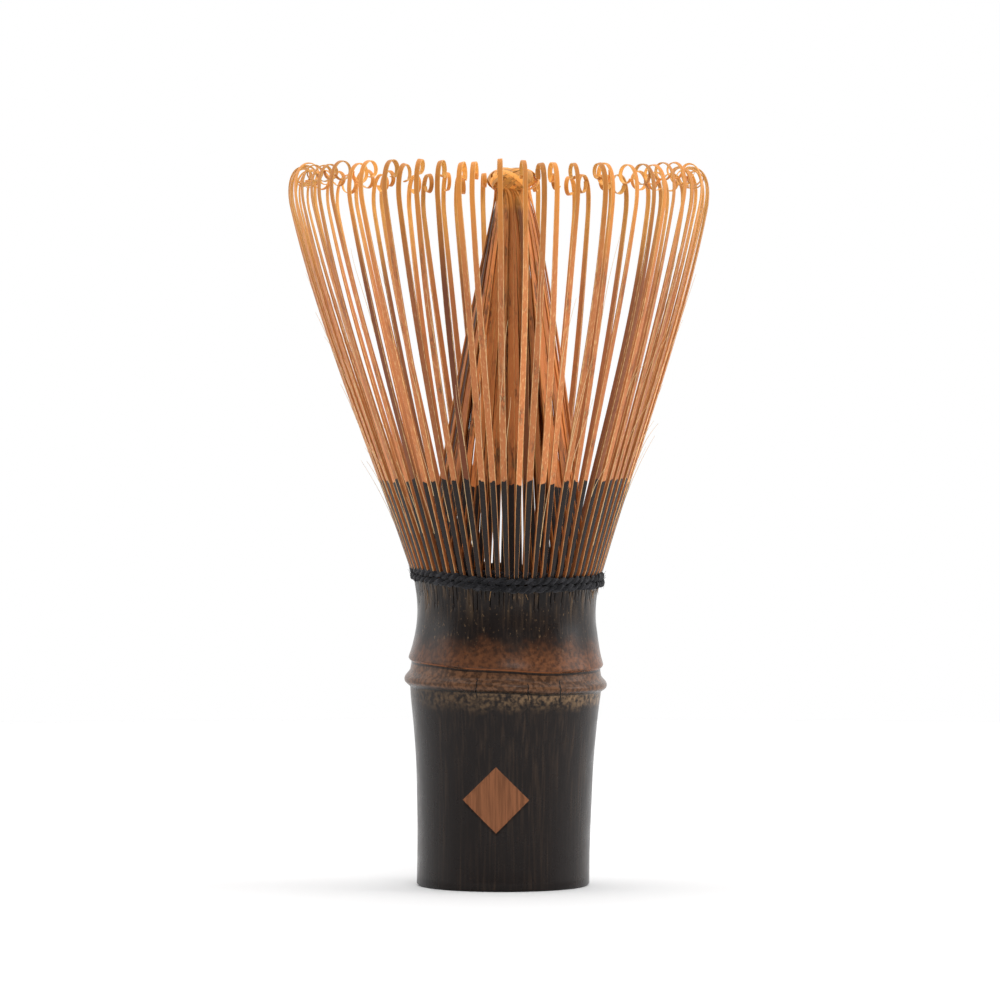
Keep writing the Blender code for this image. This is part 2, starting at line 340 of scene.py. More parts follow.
def tubes(
    points: np.ndarray, section: np.ndarray, side_kinds: np.ndarray, tint: np.ndarray, along: np.ndarray
) -> Shell:
    """Closed tubes, one to each path, through (paths, stations, corners, 3) points.

    Each end is closed by quads between opposite corners, so the section has an even number.

    Args:
        points: The swept points.
        section: The section's corners, whose widths become "across".
        side_kinds: The "cut" number of the side after each corner of the section.
        tint: One number to each path, for its own shade of colour; in the inner tuft it also carries painted
            side light.
        along: How far each station is from root to tip, 0 to 1, as (paths, stations).

    Returns:
        One shell, with "cut" and "tint" on its faces and "along" and "across" on its points.
    """
    paths, stations, corners, _ = points.shape
    index = np.arange(paths * stations * corners).reshape(paths, stations, corners)
    beside = np.roll(index, -1, axis=2)
    sides = np.stack([index[:, :-1], index[:, 1:], beside[:, 1:], beside[:, :-1]], axis=-1)
    near = np.arange(corners // 2 - 1)
    first, last = index[:, 0], index[:, -1]
    opposite = corners - 1 - near
    start = np.stack([first[:, near], first[:, near + 1], first[:, opposite - 1], first[:, opposite]], -1)
    end = np.stack([last[:, opposite], last[:, opposite - 1], last[:, near + 1], last[:, near]], -1)
    caps = np.concatenate([start, end], axis=1)
    cut = np.broadcast_to(side_kinds, (paths, stations - 1, corners))
    own = np.broadcast_to(tint[:, None, None], cut.shape)
    return Shell(
        points.reshape(-1, 3),
        [sides.reshape(-1, 4), caps.reshape(-1, 4)],
        {
            "cut": [cut.ravel(), np.full(caps[..., 0].size, Part.CUT.value)],
            "tint": [own.ravel(), np.repeat(tint, caps.shape[1])],
        },
        {"along": np.repeat(along.ravel(), corners), "across": np.tile(section[:, 0], paths * stations)},
    )


# A tine's section, as (width, depth): a crowned skin face, two arrises, two sides and the back.
TINE_SECTION = np.array(
    [
        (-0.86, 0.97), (-0.30, 1.06), (0.30, 1.06), (0.86, 0.97), (1.0, 0.70),
        (1.0, -0.70), (0.84, -1.0), (-0.84, -1.0), (-1.0, -0.70), (-1.0, 0.70),
    ]
)
TINE_SIDES = np.array([0.0, 0.0, 0.0, 0.5, 1.0, 0.5, 1.0, 0.5, 1.0, 0.5])
TINE_SHARP_DEG = 32.0
FIBRE_SECTION = np.array([(-1.0, 1.0), (1.0, 1.0), (1.0, -1.0), (-1.0, -1.0)])


def fibres(
    path: np.ndarray, facing: np.ndarray, half_width: np.ndarray, half_depth: np.ndarray, kind: Part
) -> Shell:
    """Fine four-sided fibres, one to each path.

    Args:
        path: Stations, as (paths, stations, 3).
        facing: Which way the fibres face, in the same shape.
        half_width: Half widths, as (paths, stations).
        half_depth: Half depths, in the same shape.
        kind: Which of the bamboo's surfaces they count as.

    Returns:
        One shell.
    """
    points = swept(path, facing, half_width, half_depth, FIBRE_SECTION)
    along = np.full(path.shape[:2], 0.5)
    return tubes(points, FIBRE_SECTION, np.full(4, kind.value), np.zeros(len(path)), along)


# --- Finishes --------------------------------------------------------------------------------


def join(tree: bpy.types.NodeTree, value: Value, socket: Socket) -> None:
    """Links an output to a socket, or sets a plain number or colour on it.

    Args:
        tree: The tree that both are in.
        value: The output, number or colour.
        socket: The socket.
    """
    if isinstance(value, bpy.types.NodeSocket):
        tree.links.new(value, socket)
    elif isinstance(value, tuple) and socket.type == "RGBA":
        socket.default_value = (*value, 1.0)
    else:
        socket.default_value = value


def add_node(
    tree: bpy.types.NodeTree, kind: str, inputs: dict[str | int, Value], output: str | int = 0, **options: str
) -> Socket:
    """Adds a shader node.

    Args:
        tree: The tree to add it to.
        kind: Its type, after "ShaderNode".
        inputs: What to join to its inputs, by their names or numbers.
        output: The name or number of the output that is wanted.
        **options: The node's own settings.

    Returns:
        That output.
    """
    node = tree.nodes.new(f"ShaderNode{kind}")
    for name, value in options.items():
        setattr(node, name, value)
    for key, value in inputs.items():
        join(tree, value, node.inputs[key])
    return node.outputs[output]


class Bench:
    """A material on the bench: short calls that add shader nodes and join them."""

    def __init__(self, name: str) -> None:
        """Starts a material with a bare Principled shader."""
        self.material = bpy.data.materials.new(name)
        self.material.use_nodes = True
        self.tree = self.material.node_tree
        self.shader = self.tree.nodes["Principled BSDF"]
        self.place = add_node(self.tree, "TexCoord", {}, "Object")

    def number(self, name: str) -> Socket:
        """Reads one of the mesh's own numbers."""
        return add_node(self.tree, "Attribute", {}, "Fac", attribute_name=name)

    def axis(self, which: int) -> Socket:
        """One of the object coordinates: 0 is x, 1 is y and 2 is z."""
        return add_node(self.tree, "SeparateXYZ", {0: self.place}, which)

    def sums(self, operation: str, *values: Value) -> Socket:
        """A Math node on one, two or three values."""
        return add_node(self.tree, "Math", dict(enumerate(values)), operation=operation)

    def product(self, *values: Value) -> Socket:
        """All of the values multiplied together."""
        return functools.reduce(lambda total, value: self.sums("MULTIPLY", total, value), values)

    def away(self, value: Value, middle: float) -> Socket:
        """The distance between a value and the middle."""
        return self.sums("ABSOLUTE", self.sums("SUBTRACT", value, middle))

    def stretched(self, tall: float, wide: float = 1.0) -> Socket:
        """Object coordinates multiplied by tall up the whisk and by wide across it."""
        return add_node(self.tree, "Mapping", {"Vector": self.place, "Scale": (wide, wide, tall)})

    def noise(self, vector: Socket, scale: float, detail: float = 3.0) -> Socket:
        """A cloud pattern from 0 to 1, mostly between 0.3 and 0.7."""
        return add_node(self.tree, "TexNoise", {"Vector": vector, "Scale": scale, "Detail": detail}, "Fac")

    def wandering(self, value: Socket, cloud: Socket, reach: float) -> Socket:
        """A value moved up or down by half of reach as the cloud says."""
        return self.sums("MULTIPLY_ADD", self.sums("SUBTRACT", cloud, 0.5), reach, value)

    def spots(self, vector: Socket, scale: float) -> Socket:
        """The distance to the nearest of many scattered points."""
        return add_node(self.tree, "TexVoronoi", {"Vector": vector, "Scale": scale}, "Distance")

    def ranged(self, value: Value, none: float, full: float) -> Socket:
        """0 at none, 1 at full and smooth between, whichever of the two is larger.

        Args:
            value: What is read.
            none: Where the result is 0.
            full: Where it is 1.

        Returns:
            The result.
        """
        falls = none > full
        spans = {"From Min": min(none, full), "From Max": max(none, full)}
        spans |= {"To Min": float(falls), "To Max": float(not falls)}
        return add_node(self.tree, "MapRange", {"Value": value, **spans}, interpolation_type="SMOOTHSTEP")

    def band(self, value: Value, rise: Pair, fall: Pair) -> Socket:
        """1 between a rise and a fall, each of which is given by where it is 0 and where it is 1."""
        return self.product(self.ranged(value, *rise), self.ranged(value, *fall))

    def mixed(self, share: Value, first: Value, second: Value) -> Socket:
        """The first colour where share is 0 and the second where it is 1."""
        return add_node(self.tree, "Mix", {0: share, 6: first, 7: second}, 2, data_type="RGBA")

    def shaded(self, colour: Socket, strength: Socket) -> Socket:
        """A colour multiplied by a number."""
        return add_node(self.tree, "VectorMath", {0: colour, "Scale": strength}, operation="SCALE")

    def bumped(self, height: Socket, depth: float, strength: float) -> None:
        """Gives the surface a relief this deep, in metres, where height goes from 0 to 1."""
        relief = {"Strength": strength, "Distance": depth, "Height": height}
        join(self.tree, add_node(self.tree, "Bump", relief), self.shader.inputs["Normal"])

    def finished(self, colour: Value, roughness: Value, **plain: Value) -> bpy.types.Material:
        """Joins the colour and the rest to the Principled shader.

        Args:
            colour: The base colour.
            roughness: The roughness.
            **plain: Other sockets, with _ for each space in the name.

        Returns:
            The material.
        """
        values = {"Base_Color": colour, "Roughness": roughness, **plain}
        for name, value in values.items():
            join(self.tree, value, self.shader.inputs[name.replace("_", " ")])
        return self.material


def darker(colour: Colour, share: float) -> Colour:
    """A colour at this share of its strength."""
    return tuple(share * part for part in colour)


@dataclass(frozen=True)
class SmokedSkin:
    """The culm's dark smoked skin, its reddish node and the bare bamboo inside it.

    Heights are those of the growth lines before the node's tilt, which the mesh's "outline" holds.
    A rise or a fall is the height where a layer isn't yet there and the height where it is full.
    """

    dark: Colour = (0.0098, 0.0064, 0.0056)
    grain: Colour = (0.036, 0.0222, 0.0148)
    blush: Colour = (0.215, 0.080, 0.032)
    sheath: Colour = (0.180, 0.083, 0.040)
    scar: Colour = (0.30, 0.105, 0.040)
    speck: Colour = (0.260, 0.160, 0.084)
    # Near black: the dark cracks, splits and slits, and the painted shade at the ridge's foot and under the
    # scar's lip.
    soot_and_shade: Colour = (0.0050, 0.0036, 0.0032)
    bare: Colour = (0.285, 0.108, 0.046)
    inside: Colour = (0.33, 0.19, 0.09)
    ridge_foot: float = 31.75 * MM
    scar_height: float = 35.95 * MM
    sheath_rise: Pair = mm(31.9, 32.5)
    sheath_fall: Pair = mm(36.0, 35.8)
    blush_rise: Pair = mm(35.95, 36.2)
    blush_fall: Pair = mm(40.3, 36.6)
    mottle_rise: Pair = mm(27.6, 30.6)
    mottle_fall: Pair = mm(32.1, 31.75)
    fleck_rise: Pair = mm(37.0, 40.0)
    streak_rise: Pair = mm(40.5, 46.0)
    split_rise: Pair = mm(42.0, 46.5)
    crack_half: Pair = mm(0.13, 0.05)
    crack_lines: tuple[tuple[float, ...], ...] = (  # place along +X, foot and top
        mm(-3.4, 30.4, 34.6), mm(4.6, 30.0, 34.0), mm(9.6, 29.4, 34.9),
    )
    mark_height: float = 14.3 * MM
    mark_across: float = -0.40 * MM
    mark_half: float = 5.2 * MM

    def dress(self) -> bpy.types.Material:
        """Builds the material, layer over layer, from the smoked skin up to the marks on it.

        Returns:
            The material.
        """
        bench = Bench("smoked_bamboo_skin")
        outline, cut = bench.number("outline"), bench.number("cut")
        fine = bench.noise(bench.stretched(0.03), 2600.0, 4.0)
        broad = bench.noise(bench.stretched(0.06), 420.0)
        cloud = bench.noise(bench.place, 330.0, 5.0)
        dust = bench.noise(bench.stretched(0.55), 2600.0)

        streak = bench.product(bench.ranged(fine, 0.42, 0.72), bench.ranged(broad, 0.32, 0.68))
        skin = bench.mixed(streak, self.dark, self.grain)
        skin = self.node(bench, skin, outline, cloud)
        skin = self.neck(bench, skin, outline, broad, dust)
        skin = bench.mixed(self.cracks(bench, outline), skin, self.soot_and_shade)

        mark = self.mark(bench)
        bare = bench.mixed(bench.ranged(fine, 0.38, 0.66), self.bare, darker(self.bare, 0.62))
        skin = bench.mixed(mark, skin, bare)
        bundles = bench.ranged(bench.spots(bench.stretched(0.02), 1500.0), 0.34, 0.18)
        wall = bench.mixed(bundles, self.inside, darker(self.inside, 0.4))
        colour = bench.mixed(cut, skin, wall)

        rough = bench.sums("MULTIPLY_ADD", cloud, 0.24, 0.17)
        rough = bench.sums("MAXIMUM", rough, bench.product(bench.sums("MAXIMUM", cut, mark), 0.62))
        bench.bumped(bench.sums("MULTIPLY_ADD", dust, 0.6, fine), 0.05 * MM, 0.35)
        return bench.finished(colour, rough, Specular_IOR_Level=0.19)

    def node(self, bench: Bench, skin: Socket, outline: Socket, cloud: Socket) -> Socket:
        """Colours the node: pale mottling, sheath band, scar line and the blush above it, with painted side
        light on the blush and the mottling, and painted shade at the ridge's foot and under the scar's lip.

        Args:
            bench: The material's bench.
            skin: The skin's colour so far.
            outline: The growth lines' height.
            cloud: A slow pattern that wears the bands.

        Returns:
            The colour with the node on it.
        """
        wander = bench.wandering(outline, cloud, 4.0 * MM)
        soft = bench.noise(bench.place, 1500.0, 8.0)
        # painted side light: 0 at x = -16 mm and 1 at x = 12 mm, so the blush and the pale mottling come out
        # stronger on the right, where the light falls.
        painted_side_light = bench.ranged(bench.axis(0), *mm(-16.0, 12.0))
        worn = bench.mixed(bench.ranged(soft, 0.40, 0.62), darker(self.sheath, 0.38), self.sheath)
        sheath = bench.band(outline, self.sheath_rise, self.sheath_fall)
        skin = bench.mixed(bench.product(sheath, 0.85), skin, worn)

        blush = bench.product(bench.ranged(outline, *self.blush_rise), bench.ranged(wander, *self.blush_fall))
        patchy = bench.sums("MULTIPLY_ADD", bench.ranged(soft, 0.30, 0.68), 0.60, 0.25)
        # The blush's strength carries the painted side light.
        strong = bench.sums("MULTIPLY_ADD", painted_side_light, 0.45, 0.6)
        skin = bench.mixed(bench.product(blush, patchy, strong), skin, self.blush)

        pale = bench.product(bench.ranged(wander, *self.mottle_rise), bench.ranged(soft, 0.34, 0.70))
        below = bench.ranged(outline, *self.mottle_fall)
        # The pale mottling's strength carries the painted side light too.
        strong = bench.sums("MULTIPLY_ADD", painted_side_light, 0.75, 0.2)
        skin = bench.mixed(bench.product(pale, below, strong), skin, self.speck)

        edge = bench.ranged(bench.away(outline, self.scar_height), *mm(0.17, 0.05))
        skin = bench.mixed(bench.product(edge, bench.ranged(cloud, 0.30, 0.52), 0.85), skin, self.scar)
        # painted shade: dark lines in the fold at the foot of the lower ridge and 0.32 mm under the scar's
        # lip, where shade falls.
        crease_shade = bench.ranged(bench.away(outline, self.ridge_foot), *mm(0.24, 0.05))
        lip_shade = bench.ranged(bench.away(outline, self.scar_height - 0.32 * MM), *mm(0.26, 0.08))
        return bench.mixed(bench.product(bench.sums("MAXIMUM", crease_shade, lip_shade), 0.85), skin, self.soot_and_shade)

    def neck(self, bench: Bench, skin: Socket, outline: Socket, broad: Socket, dust: Socket) -> Socket:
        """Colours the neck: tan flecks, paler streaks under the lacing and the dark slits.

        Args:
            bench: The material's bench.
            skin: The skin's colour so far.
            outline: The growth lines' height.
            broad: A pattern of wide streaks.
            dust: A fine pattern for the flecks.

        Returns:
            The colour with the neck on it.
        """
        flecks = bench.product(bench.ranged(outline, *self.fleck_rise), bench.ranged(dust, 0.62, 0.76), 0.55)
        skin = bench.mixed(flecks, skin, self.speck)
        tall = bench.noise(bench.stretched(0.05), 1500.0)
        streaky = bench.product(bench.ranged(tall, 0.46, 0.62), bench.ranged(broad, 0.3, 0.6))
        under = bench.product(bench.ranged(outline, *self.streak_rise), streaky, 0.7)
        skin = bench.mixed(under, skin, darker(self.speck, 0.45))
        split = bench.product(bench.ranged(outline, *self.split_rise), bench.ranged(tall, 0.44, 0.36), 0.8)
        skin = bench.mixed(split, skin, self.soot_and_shade)
        return bench.mixed(bench.number("slit"), skin, self.soot_and_shade)

    def cracks(self, bench: Bench, outline: Socket) -> Socket:
        """Where fine drying cracks run down across the node's lower ridge, at the front.

        Args:
            bench: The material's bench.
            outline: The growth lines' height.

        Returns:
            1 in a crack and 0 beside it.
        """
        slow = bench.noise(bench.stretched(1.0, 0.1), 700.0, 2.0)
        across = bench.wandering(bench.axis(0), slow, 1.1 * MM)
        ends = 0.5 * MM
        found: Value = 0.0
        for place, low, high in self.crack_lines:
            near = bench.ranged(bench.away(across, place), *self.crack_half)
            inside = bench.band(outline, (low, low + ends), (high, high - ends))
            found = bench.sums("MAXIMUM", bench.product(near, inside), found)
        return bench.product(found, bench.sums("LESS_THAN", bench.axis(1), 0.0))

    def mark(self, bench: Bench) -> Socket:
        """The plain lozenge where the skin was scraped away, from the sum of |x| and |z|.

        Args:
            bench: The material's bench.

        Returns:
            1 inside it and 0 outside.
        """
        across = bench.away(bench.axis(0), self.mark_across)
        rise = bench.away(bench.axis(2), self.mark_height)
        ragged = bench.product(bench.noise(bench.place, 3000.0, 2.0), 0.12 * MM)
        reach = bench.sums("ADD", bench.sums("ADD", across, rise), ragged)
        inside = bench.ranged(reach, self.mark_half + 0.08 * MM, self.mark_half)
        return bench.product(inside, bench.sums("LESS_THAN", bench.axis(1), 0.0))


@dataclass(frozen=True)
class SplitBamboo:
    """Split bamboo: charcoal skin left near the root, shaved faces above it, and arrises lighter partly by
    their own colour and partly by a painted highlight.
    """

    name: str
    shaved: Colour
    dark_streak: Colour
    arris: Colour
    side: Colour
    tip: Colour
    curl_inside: Colour
    skin: Colour
    variety: float  # how much lighter or darker one tine is than the next
    dark_tines: Pair  # the tints between which a tine turns as dark as its streaks
    skin_top: float
    streaks: Pair  # the cloud's values where a streak starts and is full
    tip_from: Pair  # how far along a tine its golden tip starts and is full
    fibre: Colour = (0.80, 0.56, 0.30)
    arris_rise: Pair = mm(56.0, 70.0)
    side_rise: Pair = mm(52.0, 84.0)

    def dress(self) -> bpy.types.Material:
        """Builds the material: the shaved body, its golden tip, then the charcoal skin over both.

        Returns:
            The material.
        """
        bench = Bench(self.name)
        cut, tint, along = bench.number("cut"), bench.number("tint"), bench.number("along")
        grain = bench.noise(bench.stretched(0.04), 4200.0, 4.0)
        fine = bench.noise(bench.place, 5200.0, 2.0)
        sides = bench.sums("GREATER_THAN", cut, (Part.ARRIS.value + Part.CUT.value) / 2)
        # The arrises take a lighter colour, partly the chamfers' own colour and partly a painted highlight
        # along the tine's edges; it grows stronger higher up, and the grain breaks it into patches.
        clear = bench.sums("MULTIPLY_ADD", bench.ranged(bench.axis(2), *self.arris_rise), 0.5, 0.4)
        worn = bench.sums("MULTIPLY_ADD", bench.ranged(grain, 0.40, 0.60), 0.6, 0.4)
        light = bench.product(bench.sums("COMPARE", cut, Part.ARRIS.value, 0.1), clear, worn)

        body = self.body(bench, grain, tint, sides)
        body = bench.mixed(light, body, self.arris)
        body = bench.shaded(body, bench.sums("MULTIPLY_ADD", tint, self.variety, 1.0))

        curl = bench.mixed(sides, self.tip, self.curl_inside)
        curl = bench.mixed(bench.product(bench.ranged(grain, 0.5, 0.7), 0.3), curl, self.dark_streak)
        own = bench.sums("SINE", bench.product(tint, 90.0))
        curl = bench.shaded(curl, bench.sums("MULTIPLY_ADD", own, self.variety * 0.8, 1.0))
        # The curls' arrises carry the same lighter colour and painted highlight.
        curl = bench.mixed(bench.product(light, 0.55), curl, self.arris)
        body = bench.mixed(bench.ranged(along, *self.tip_from), body, curl)

        skin = bench.mixed(bench.ranged(fine, 0.45, 0.7), self.skin, darker(self.skin, 1.7))
        colour = bench.mixed(self.left_skin(bench, cut, tint), body, skin)
        colour = bench.mixed(bench.sums("COMPARE", cut, Part.FIBRE.value, 0.1), colour, self.fibre)
        rough = bench.sums("MULTIPLY_ADD", grain, 0.25, 0.32)
        bench.bumped(bench.sums("MULTIPLY_ADD", fine, 0.3, grain), 0.02 * MM, 0.5)
        return bench.finished(colour, rough, Specular_IOR_Level=0.2)

    def body(self, bench: Bench, grain: Socket, tint: Socket, sides: Socket) -> Socket:
        """Colours a tine's straight part: streaks, a few dark tines and the duller sides.

        Args:
            bench: The material's bench.
            grain: The pattern of the bamboo's fibres.
            tint: Each tine's own number.
            sides: 1 on a tine's sides and back, and 0 on its face.

        Returns:
            The colour.
        """
        cloud = bench.noise(bench.stretched(0.09), 620.0)
        streak = bench.product(bench.ranged(cloud, *self.streaks), bench.ranged(grain, 0.36, 0.6))
        body = bench.mixed(streak, self.shaved, self.dark_streak)
        body = bench.mixed(bench.product(bench.ranged(grain, 0.5, 0.75), 0.35), body, self.arris)
        body = bench.mixed(bench.ranged(tint, *self.dark_tines), body, self.dark_streak)
        high = bench.ranged(bench.axis(2), *self.side_rise)
        side = bench.mixed(high, darker(self.side, 0.52), self.side)
        return bench.mixed(bench.product(sides, bench.sums("MULTIPLY_ADD", grain, 0.5, 0.4)), body, side)

    def left_skin(self, bench: Bench, cut: Socket, tint: Socket) -> Socket:
        """Where a tine's face keeps its skin: below a ragged line, oblique by a sine of its tint.

        Args:
            bench: The material's bench.
            cut: Which surface a face is.
            tint: Each tine's own number.

        Returns:
            1 on the skin and 0 elsewhere.
        """
        cloud = bench.noise(bench.stretched(0.3), 2600.0, 2.0)
        ragged = bench.wandering(bench.axis(2), cloud, 0.7 * MM)
        slant = bench.sums("SINE", bench.product(tint, 40.0))
        oblique = bench.product(slant, bench.number("across"), 0.22 * MM)
        level = bench.sums("ADD", bench.sums("MULTIPLY_ADD", tint, 0.5 * MM, ragged), oblique)
        low = bench.ranged(level, self.skin_top + 0.05 * MM, self.skin_top - 0.05 * MM)
        return bench.product(low, bench.sums("LESS_THAN", cut, Part.FIBRE.value / 2))


@dataclass(frozen=True)
class BlackThread:
    """Matt black twisted cotton."""

    deep: Colour = (0.006, 0.006, 0.0075)
    worn: Colour = (0.038, 0.037, 0.042)

    def dress(self) -> bpy.types.Material:
        """Builds the material, with fine fibres across the plies.

        Returns:
            The material.
        """
        bench = Bench("black_cotton_thread")
        fibre = bench.noise(bench.stretched(2.0), 6500.0, 4.0)
        patchy = bench.product(fibre, bench.noise(bench.place, 900.0))
        colour = bench.mixed(bench.ranged(patchy, 0.16, 0.42), self.deep, self.worn)
        rough = bench.sums("MULTIPLY_ADD", fibre, 0.15, 0.8)
        bench.bumped(fibre, 0.06 * MM, 0.8)
        return bench.finished(colour, rough, Specular_IOR_Level=0.2, Sheen_Weight=0.1)


@dataclass(frozen=True)
class StudioWhite:
    """The pale paper that the whisk stands on."""

    paper: Colour = (0.835, 0.835, 0.837)
    glow: float = 0.02  # the light that comes through the paper from behind

    def dress(self) -> bpy.types.Material:
        """Builds the material: lit through from behind, with a faint tooth to the paper.

        Returns:
            The material.
        """
        bench = Bench("studio_paper")
        rough = bench.sums("MULTIPLY_ADD", bench.noise(bench.place, 900.0, 2.0), 0.1, 0.8)
        shine = {"Specular_IOR_Level": 0.2, "Emission_Color": WHITE, "Emission_Strength": self.glow}
        return bench.finished(self.paper, rough, **shine)


OUTER_BAMBOO = SplitBamboo(
    name="outer_tine_bamboo",
    shaved=(0.58, 0.198, 0.068),
    dark_streak=(0.19, 0.052, 0.022),
    arris=(0.98, 0.68, 0.31),
    side=(0.50, 0.185, 0.056),
    tip=(0.70, 0.265, 0.050),
    curl_inside=(0.84, 0.43, 0.10),
    skin=(0.015, 0.0108, 0.0100),
    variety=0.28,
    dark_tines=(-0.55, -0.95),
    skin_top=63.9 * MM,
    streaks=(0.50, 0.72),
    tip_from=(0.66, 0.97),
)
INNER_BAMBOO = SplitBamboo(
    name="inner_tine_bamboo",
    shaved=(0.56, 0.190, 0.054),
    dark_streak=(0.045, 0.014, 0.008),
    arris=(0.74, 0.38, 0.120),
    side=(0.34, 0.110, 0.032),
    tip=(0.78, 0.33, 0.066),
    curl_inside=(0.78, 0.36, 0.078),
    skin=(0.014, 0.0105, 0.0095),
    variety=0.45,
    # With the tuft's painted side light in its tint, these dark tines fall mostly on the left: painted shade
    # there as well as darker tines.
    dark_tines=(-0.02, -0.80),
    skin_top=63.2 * MM,
    streaks=(0.46, 0.65),
    tip_from=(0.84, 0.89),
)


# --- The culm --------------------------------------------------------------------------------


@dataclass
class Culm:
    """The handle: a hollow culm with its node and diaphragm, and the first splits under the lacing."""

    slits: int = 2 * TINES
    slit_half: float = 0.075 * MM
    slit_depth: float = 0.42 * MM
    rim: float = 48.6 * MM
    foot_bevel: float = 0.35 * MM
    lower_bore: float = 10.0 * MM
    upper_bore: float = 11.2 * MM
    diaphragm: Pair = mm(31.5, 34.5)
    bore_round: float = 3.0 * MM
    # How far the growth lines are raised all round, at the right and at the back
    ridge_tilt: tuple[float, ...] = mm(-0.72, -0.58, 0.28)
    scar_tilt: tuple[float, ...] = mm(-0.80, -0.67, 0.70)
    mark_depth: float = 0.14 * MM
    sliver_count: int = 22
    sharp_deg: float = 50.0
    seed: int = 11

    def skin_radius(self, height: np.ndarray) -> np.ndarray:
        """The skin's radius: a smooth curve through the foot, both ridges of the node and the neck.

        Args:
            height: Heights above the ground.

        Returns:
            The radii there.
        """
        keys = (
            (0.0, 13.62), (3.5, 13.55), (8.0, 13.58), (14.0, 13.74), (19.0, 13.92), (23.0, 14.2),
            (27.0, 14.58), (30.0, 14.9), (31.2, 14.98), (31.7, 15.06), (32.1, 15.5), (32.45, 15.82),
            (32.85, 15.92), (33.3, 15.78), (33.75, 15.4), (34.2, 15.08), (34.8, 14.94), (35.5, 14.86),
            (35.82, 14.9), (35.98, 15.16), (36.15, 15.28), (36.5, 15.22), (37.0, 15.04), (37.7, 14.82),
            (38.6, 14.58), (39.6, 14.36), (40.8, 14.16), (42.2, 14.04), (43.8, 14.02), (45.4, 14.14),
            (46.8, 14.34), (48.8, 14.72),
        )
        return through(np.array(keys) * MM, height)

    def heights(self) -> np.ndarray:
        """Heights of the skin's rows, closest round the node, the mark and the slits.

        Returns:
            The heights, from the rim down to the foot.
        """
        stretches = (
            np.arange(self.foot_bevel / MM, 7.0, 1.1), np.arange(7.4, 20.0, 0.42), np.arange(20.4, 29.0, 0.9),
            np.arange(29.2, 31.4, 0.28), np.arange(31.5, 37.0, 0.115), np.arange(37.2, 42.6, 0.45),
            np.arange(42.8, self.rim / MM, 0.22),
        )
        return np.concatenate(stretches)[::-1] * MM

    def columns(self) -> np.ndarray:
        """Azimuths of the columns: each slit's two sides, its bottom, and halfway on to the next.

        Returns:
            The azimuths, four to each slit.
        """
        pitch = math.tau / self.slits
        edge = self.slit_half / self.skin_radius(np.array([45.0 * MM]))[0]
        slit = FRONT + (np.arange(self.slits) + 0.25) * pitch
        return (slit[:, None] + np.array([-edge, 0.0, edge, pitch / 2])).ravel()

    def node_shift(self, height: np.ndarray, azimuth: np.ndarray) -> np.ndarray:
        """How far the growth lines are raised, strongest at the node and none well away from it.

        Each of the two tilts is mean + right cos(azimuth) + back sin(azimuth), and the height
        turns one into the other between the ridge and the scar. Two sines ripple both.

        Args:
            height: The rows' heights, as a column.
            azimuth: The columns' azimuths.

        Returns:
            The rise at each point.
        """
        strength = np.exp(-(((height - 34.5 * MM) / (4.2 * MM)) ** 4))
        ridge, scar = (
            mean + right * np.cos(azimuth) + back * np.sin(azimuth)
            for mean, right, back in (self.ridge_tilt, self.scar_tilt)
        )
        ripple = 0.09 * MM * np.sin(3 * azimuth + 0.7) + 0.06 * MM * np.sin(7 * azimuth)
        return strength * (ridge + (scar - ridge) * smoothstep(33.0 * MM, 35.6 * MM, height) + ripple)

    def slit_depths(self, height: np.ndarray, on_skin: np.ndarray) -> tuple[np.ndarray, np.ndarray]:
        """Depths of the splits, each of which starts at its own height and has its own depth.

        Args:
            height: The rows' heights, as a column.
            on_skin: Which rows are on the skin.

        Returns:
            The depths, and from 0 to 1 how dark a slit is at each point.
        """
        rng = np.random.default_rng(self.seed)
        start = np.repeat(rng.uniform(43.0, 46.3, self.slits) * MM, 4)
        strength = np.repeat(rng.uniform(0.1, 1.0, self.slits) ** 1.8, 4)
        opened = smoothstep(0.0, 1.3 * MM, height - start) * on_skin[:, None] * strength
        depth = opened * self.slit_depth * np.tile([0.0, 1.0, 0.0, 0.0], self.slits)
        return depth, opened * np.tile([0.15, 0.7, 0.15, 0.0], self.slits)

    def mark_inset(self, height: np.ndarray, azimuth: np.ndarray) -> np.ndarray:
        """How deep the lozenge is scraped: its full depth where |x| + |z| is inside its half size.

        Args:
            height: The rows' heights, as a column.
            azimuth: The columns' azimuths.

        Returns:
            The depth at each point.
        """
        look = SmokedSkin()
        across = around(self.skin_radius(height), azimuth, height, CULM_LINE)[..., 0] - look.mark_across
        reach = np.abs(across) + np.abs(height - look.mark_height)
        inside = 1.0 - smoothstep(look.mark_half - 0.25 * MM, look.mark_half + 0.05 * MM, reach)
        return self.mark_depth * inside * (np.sin(azimuth) < 0)

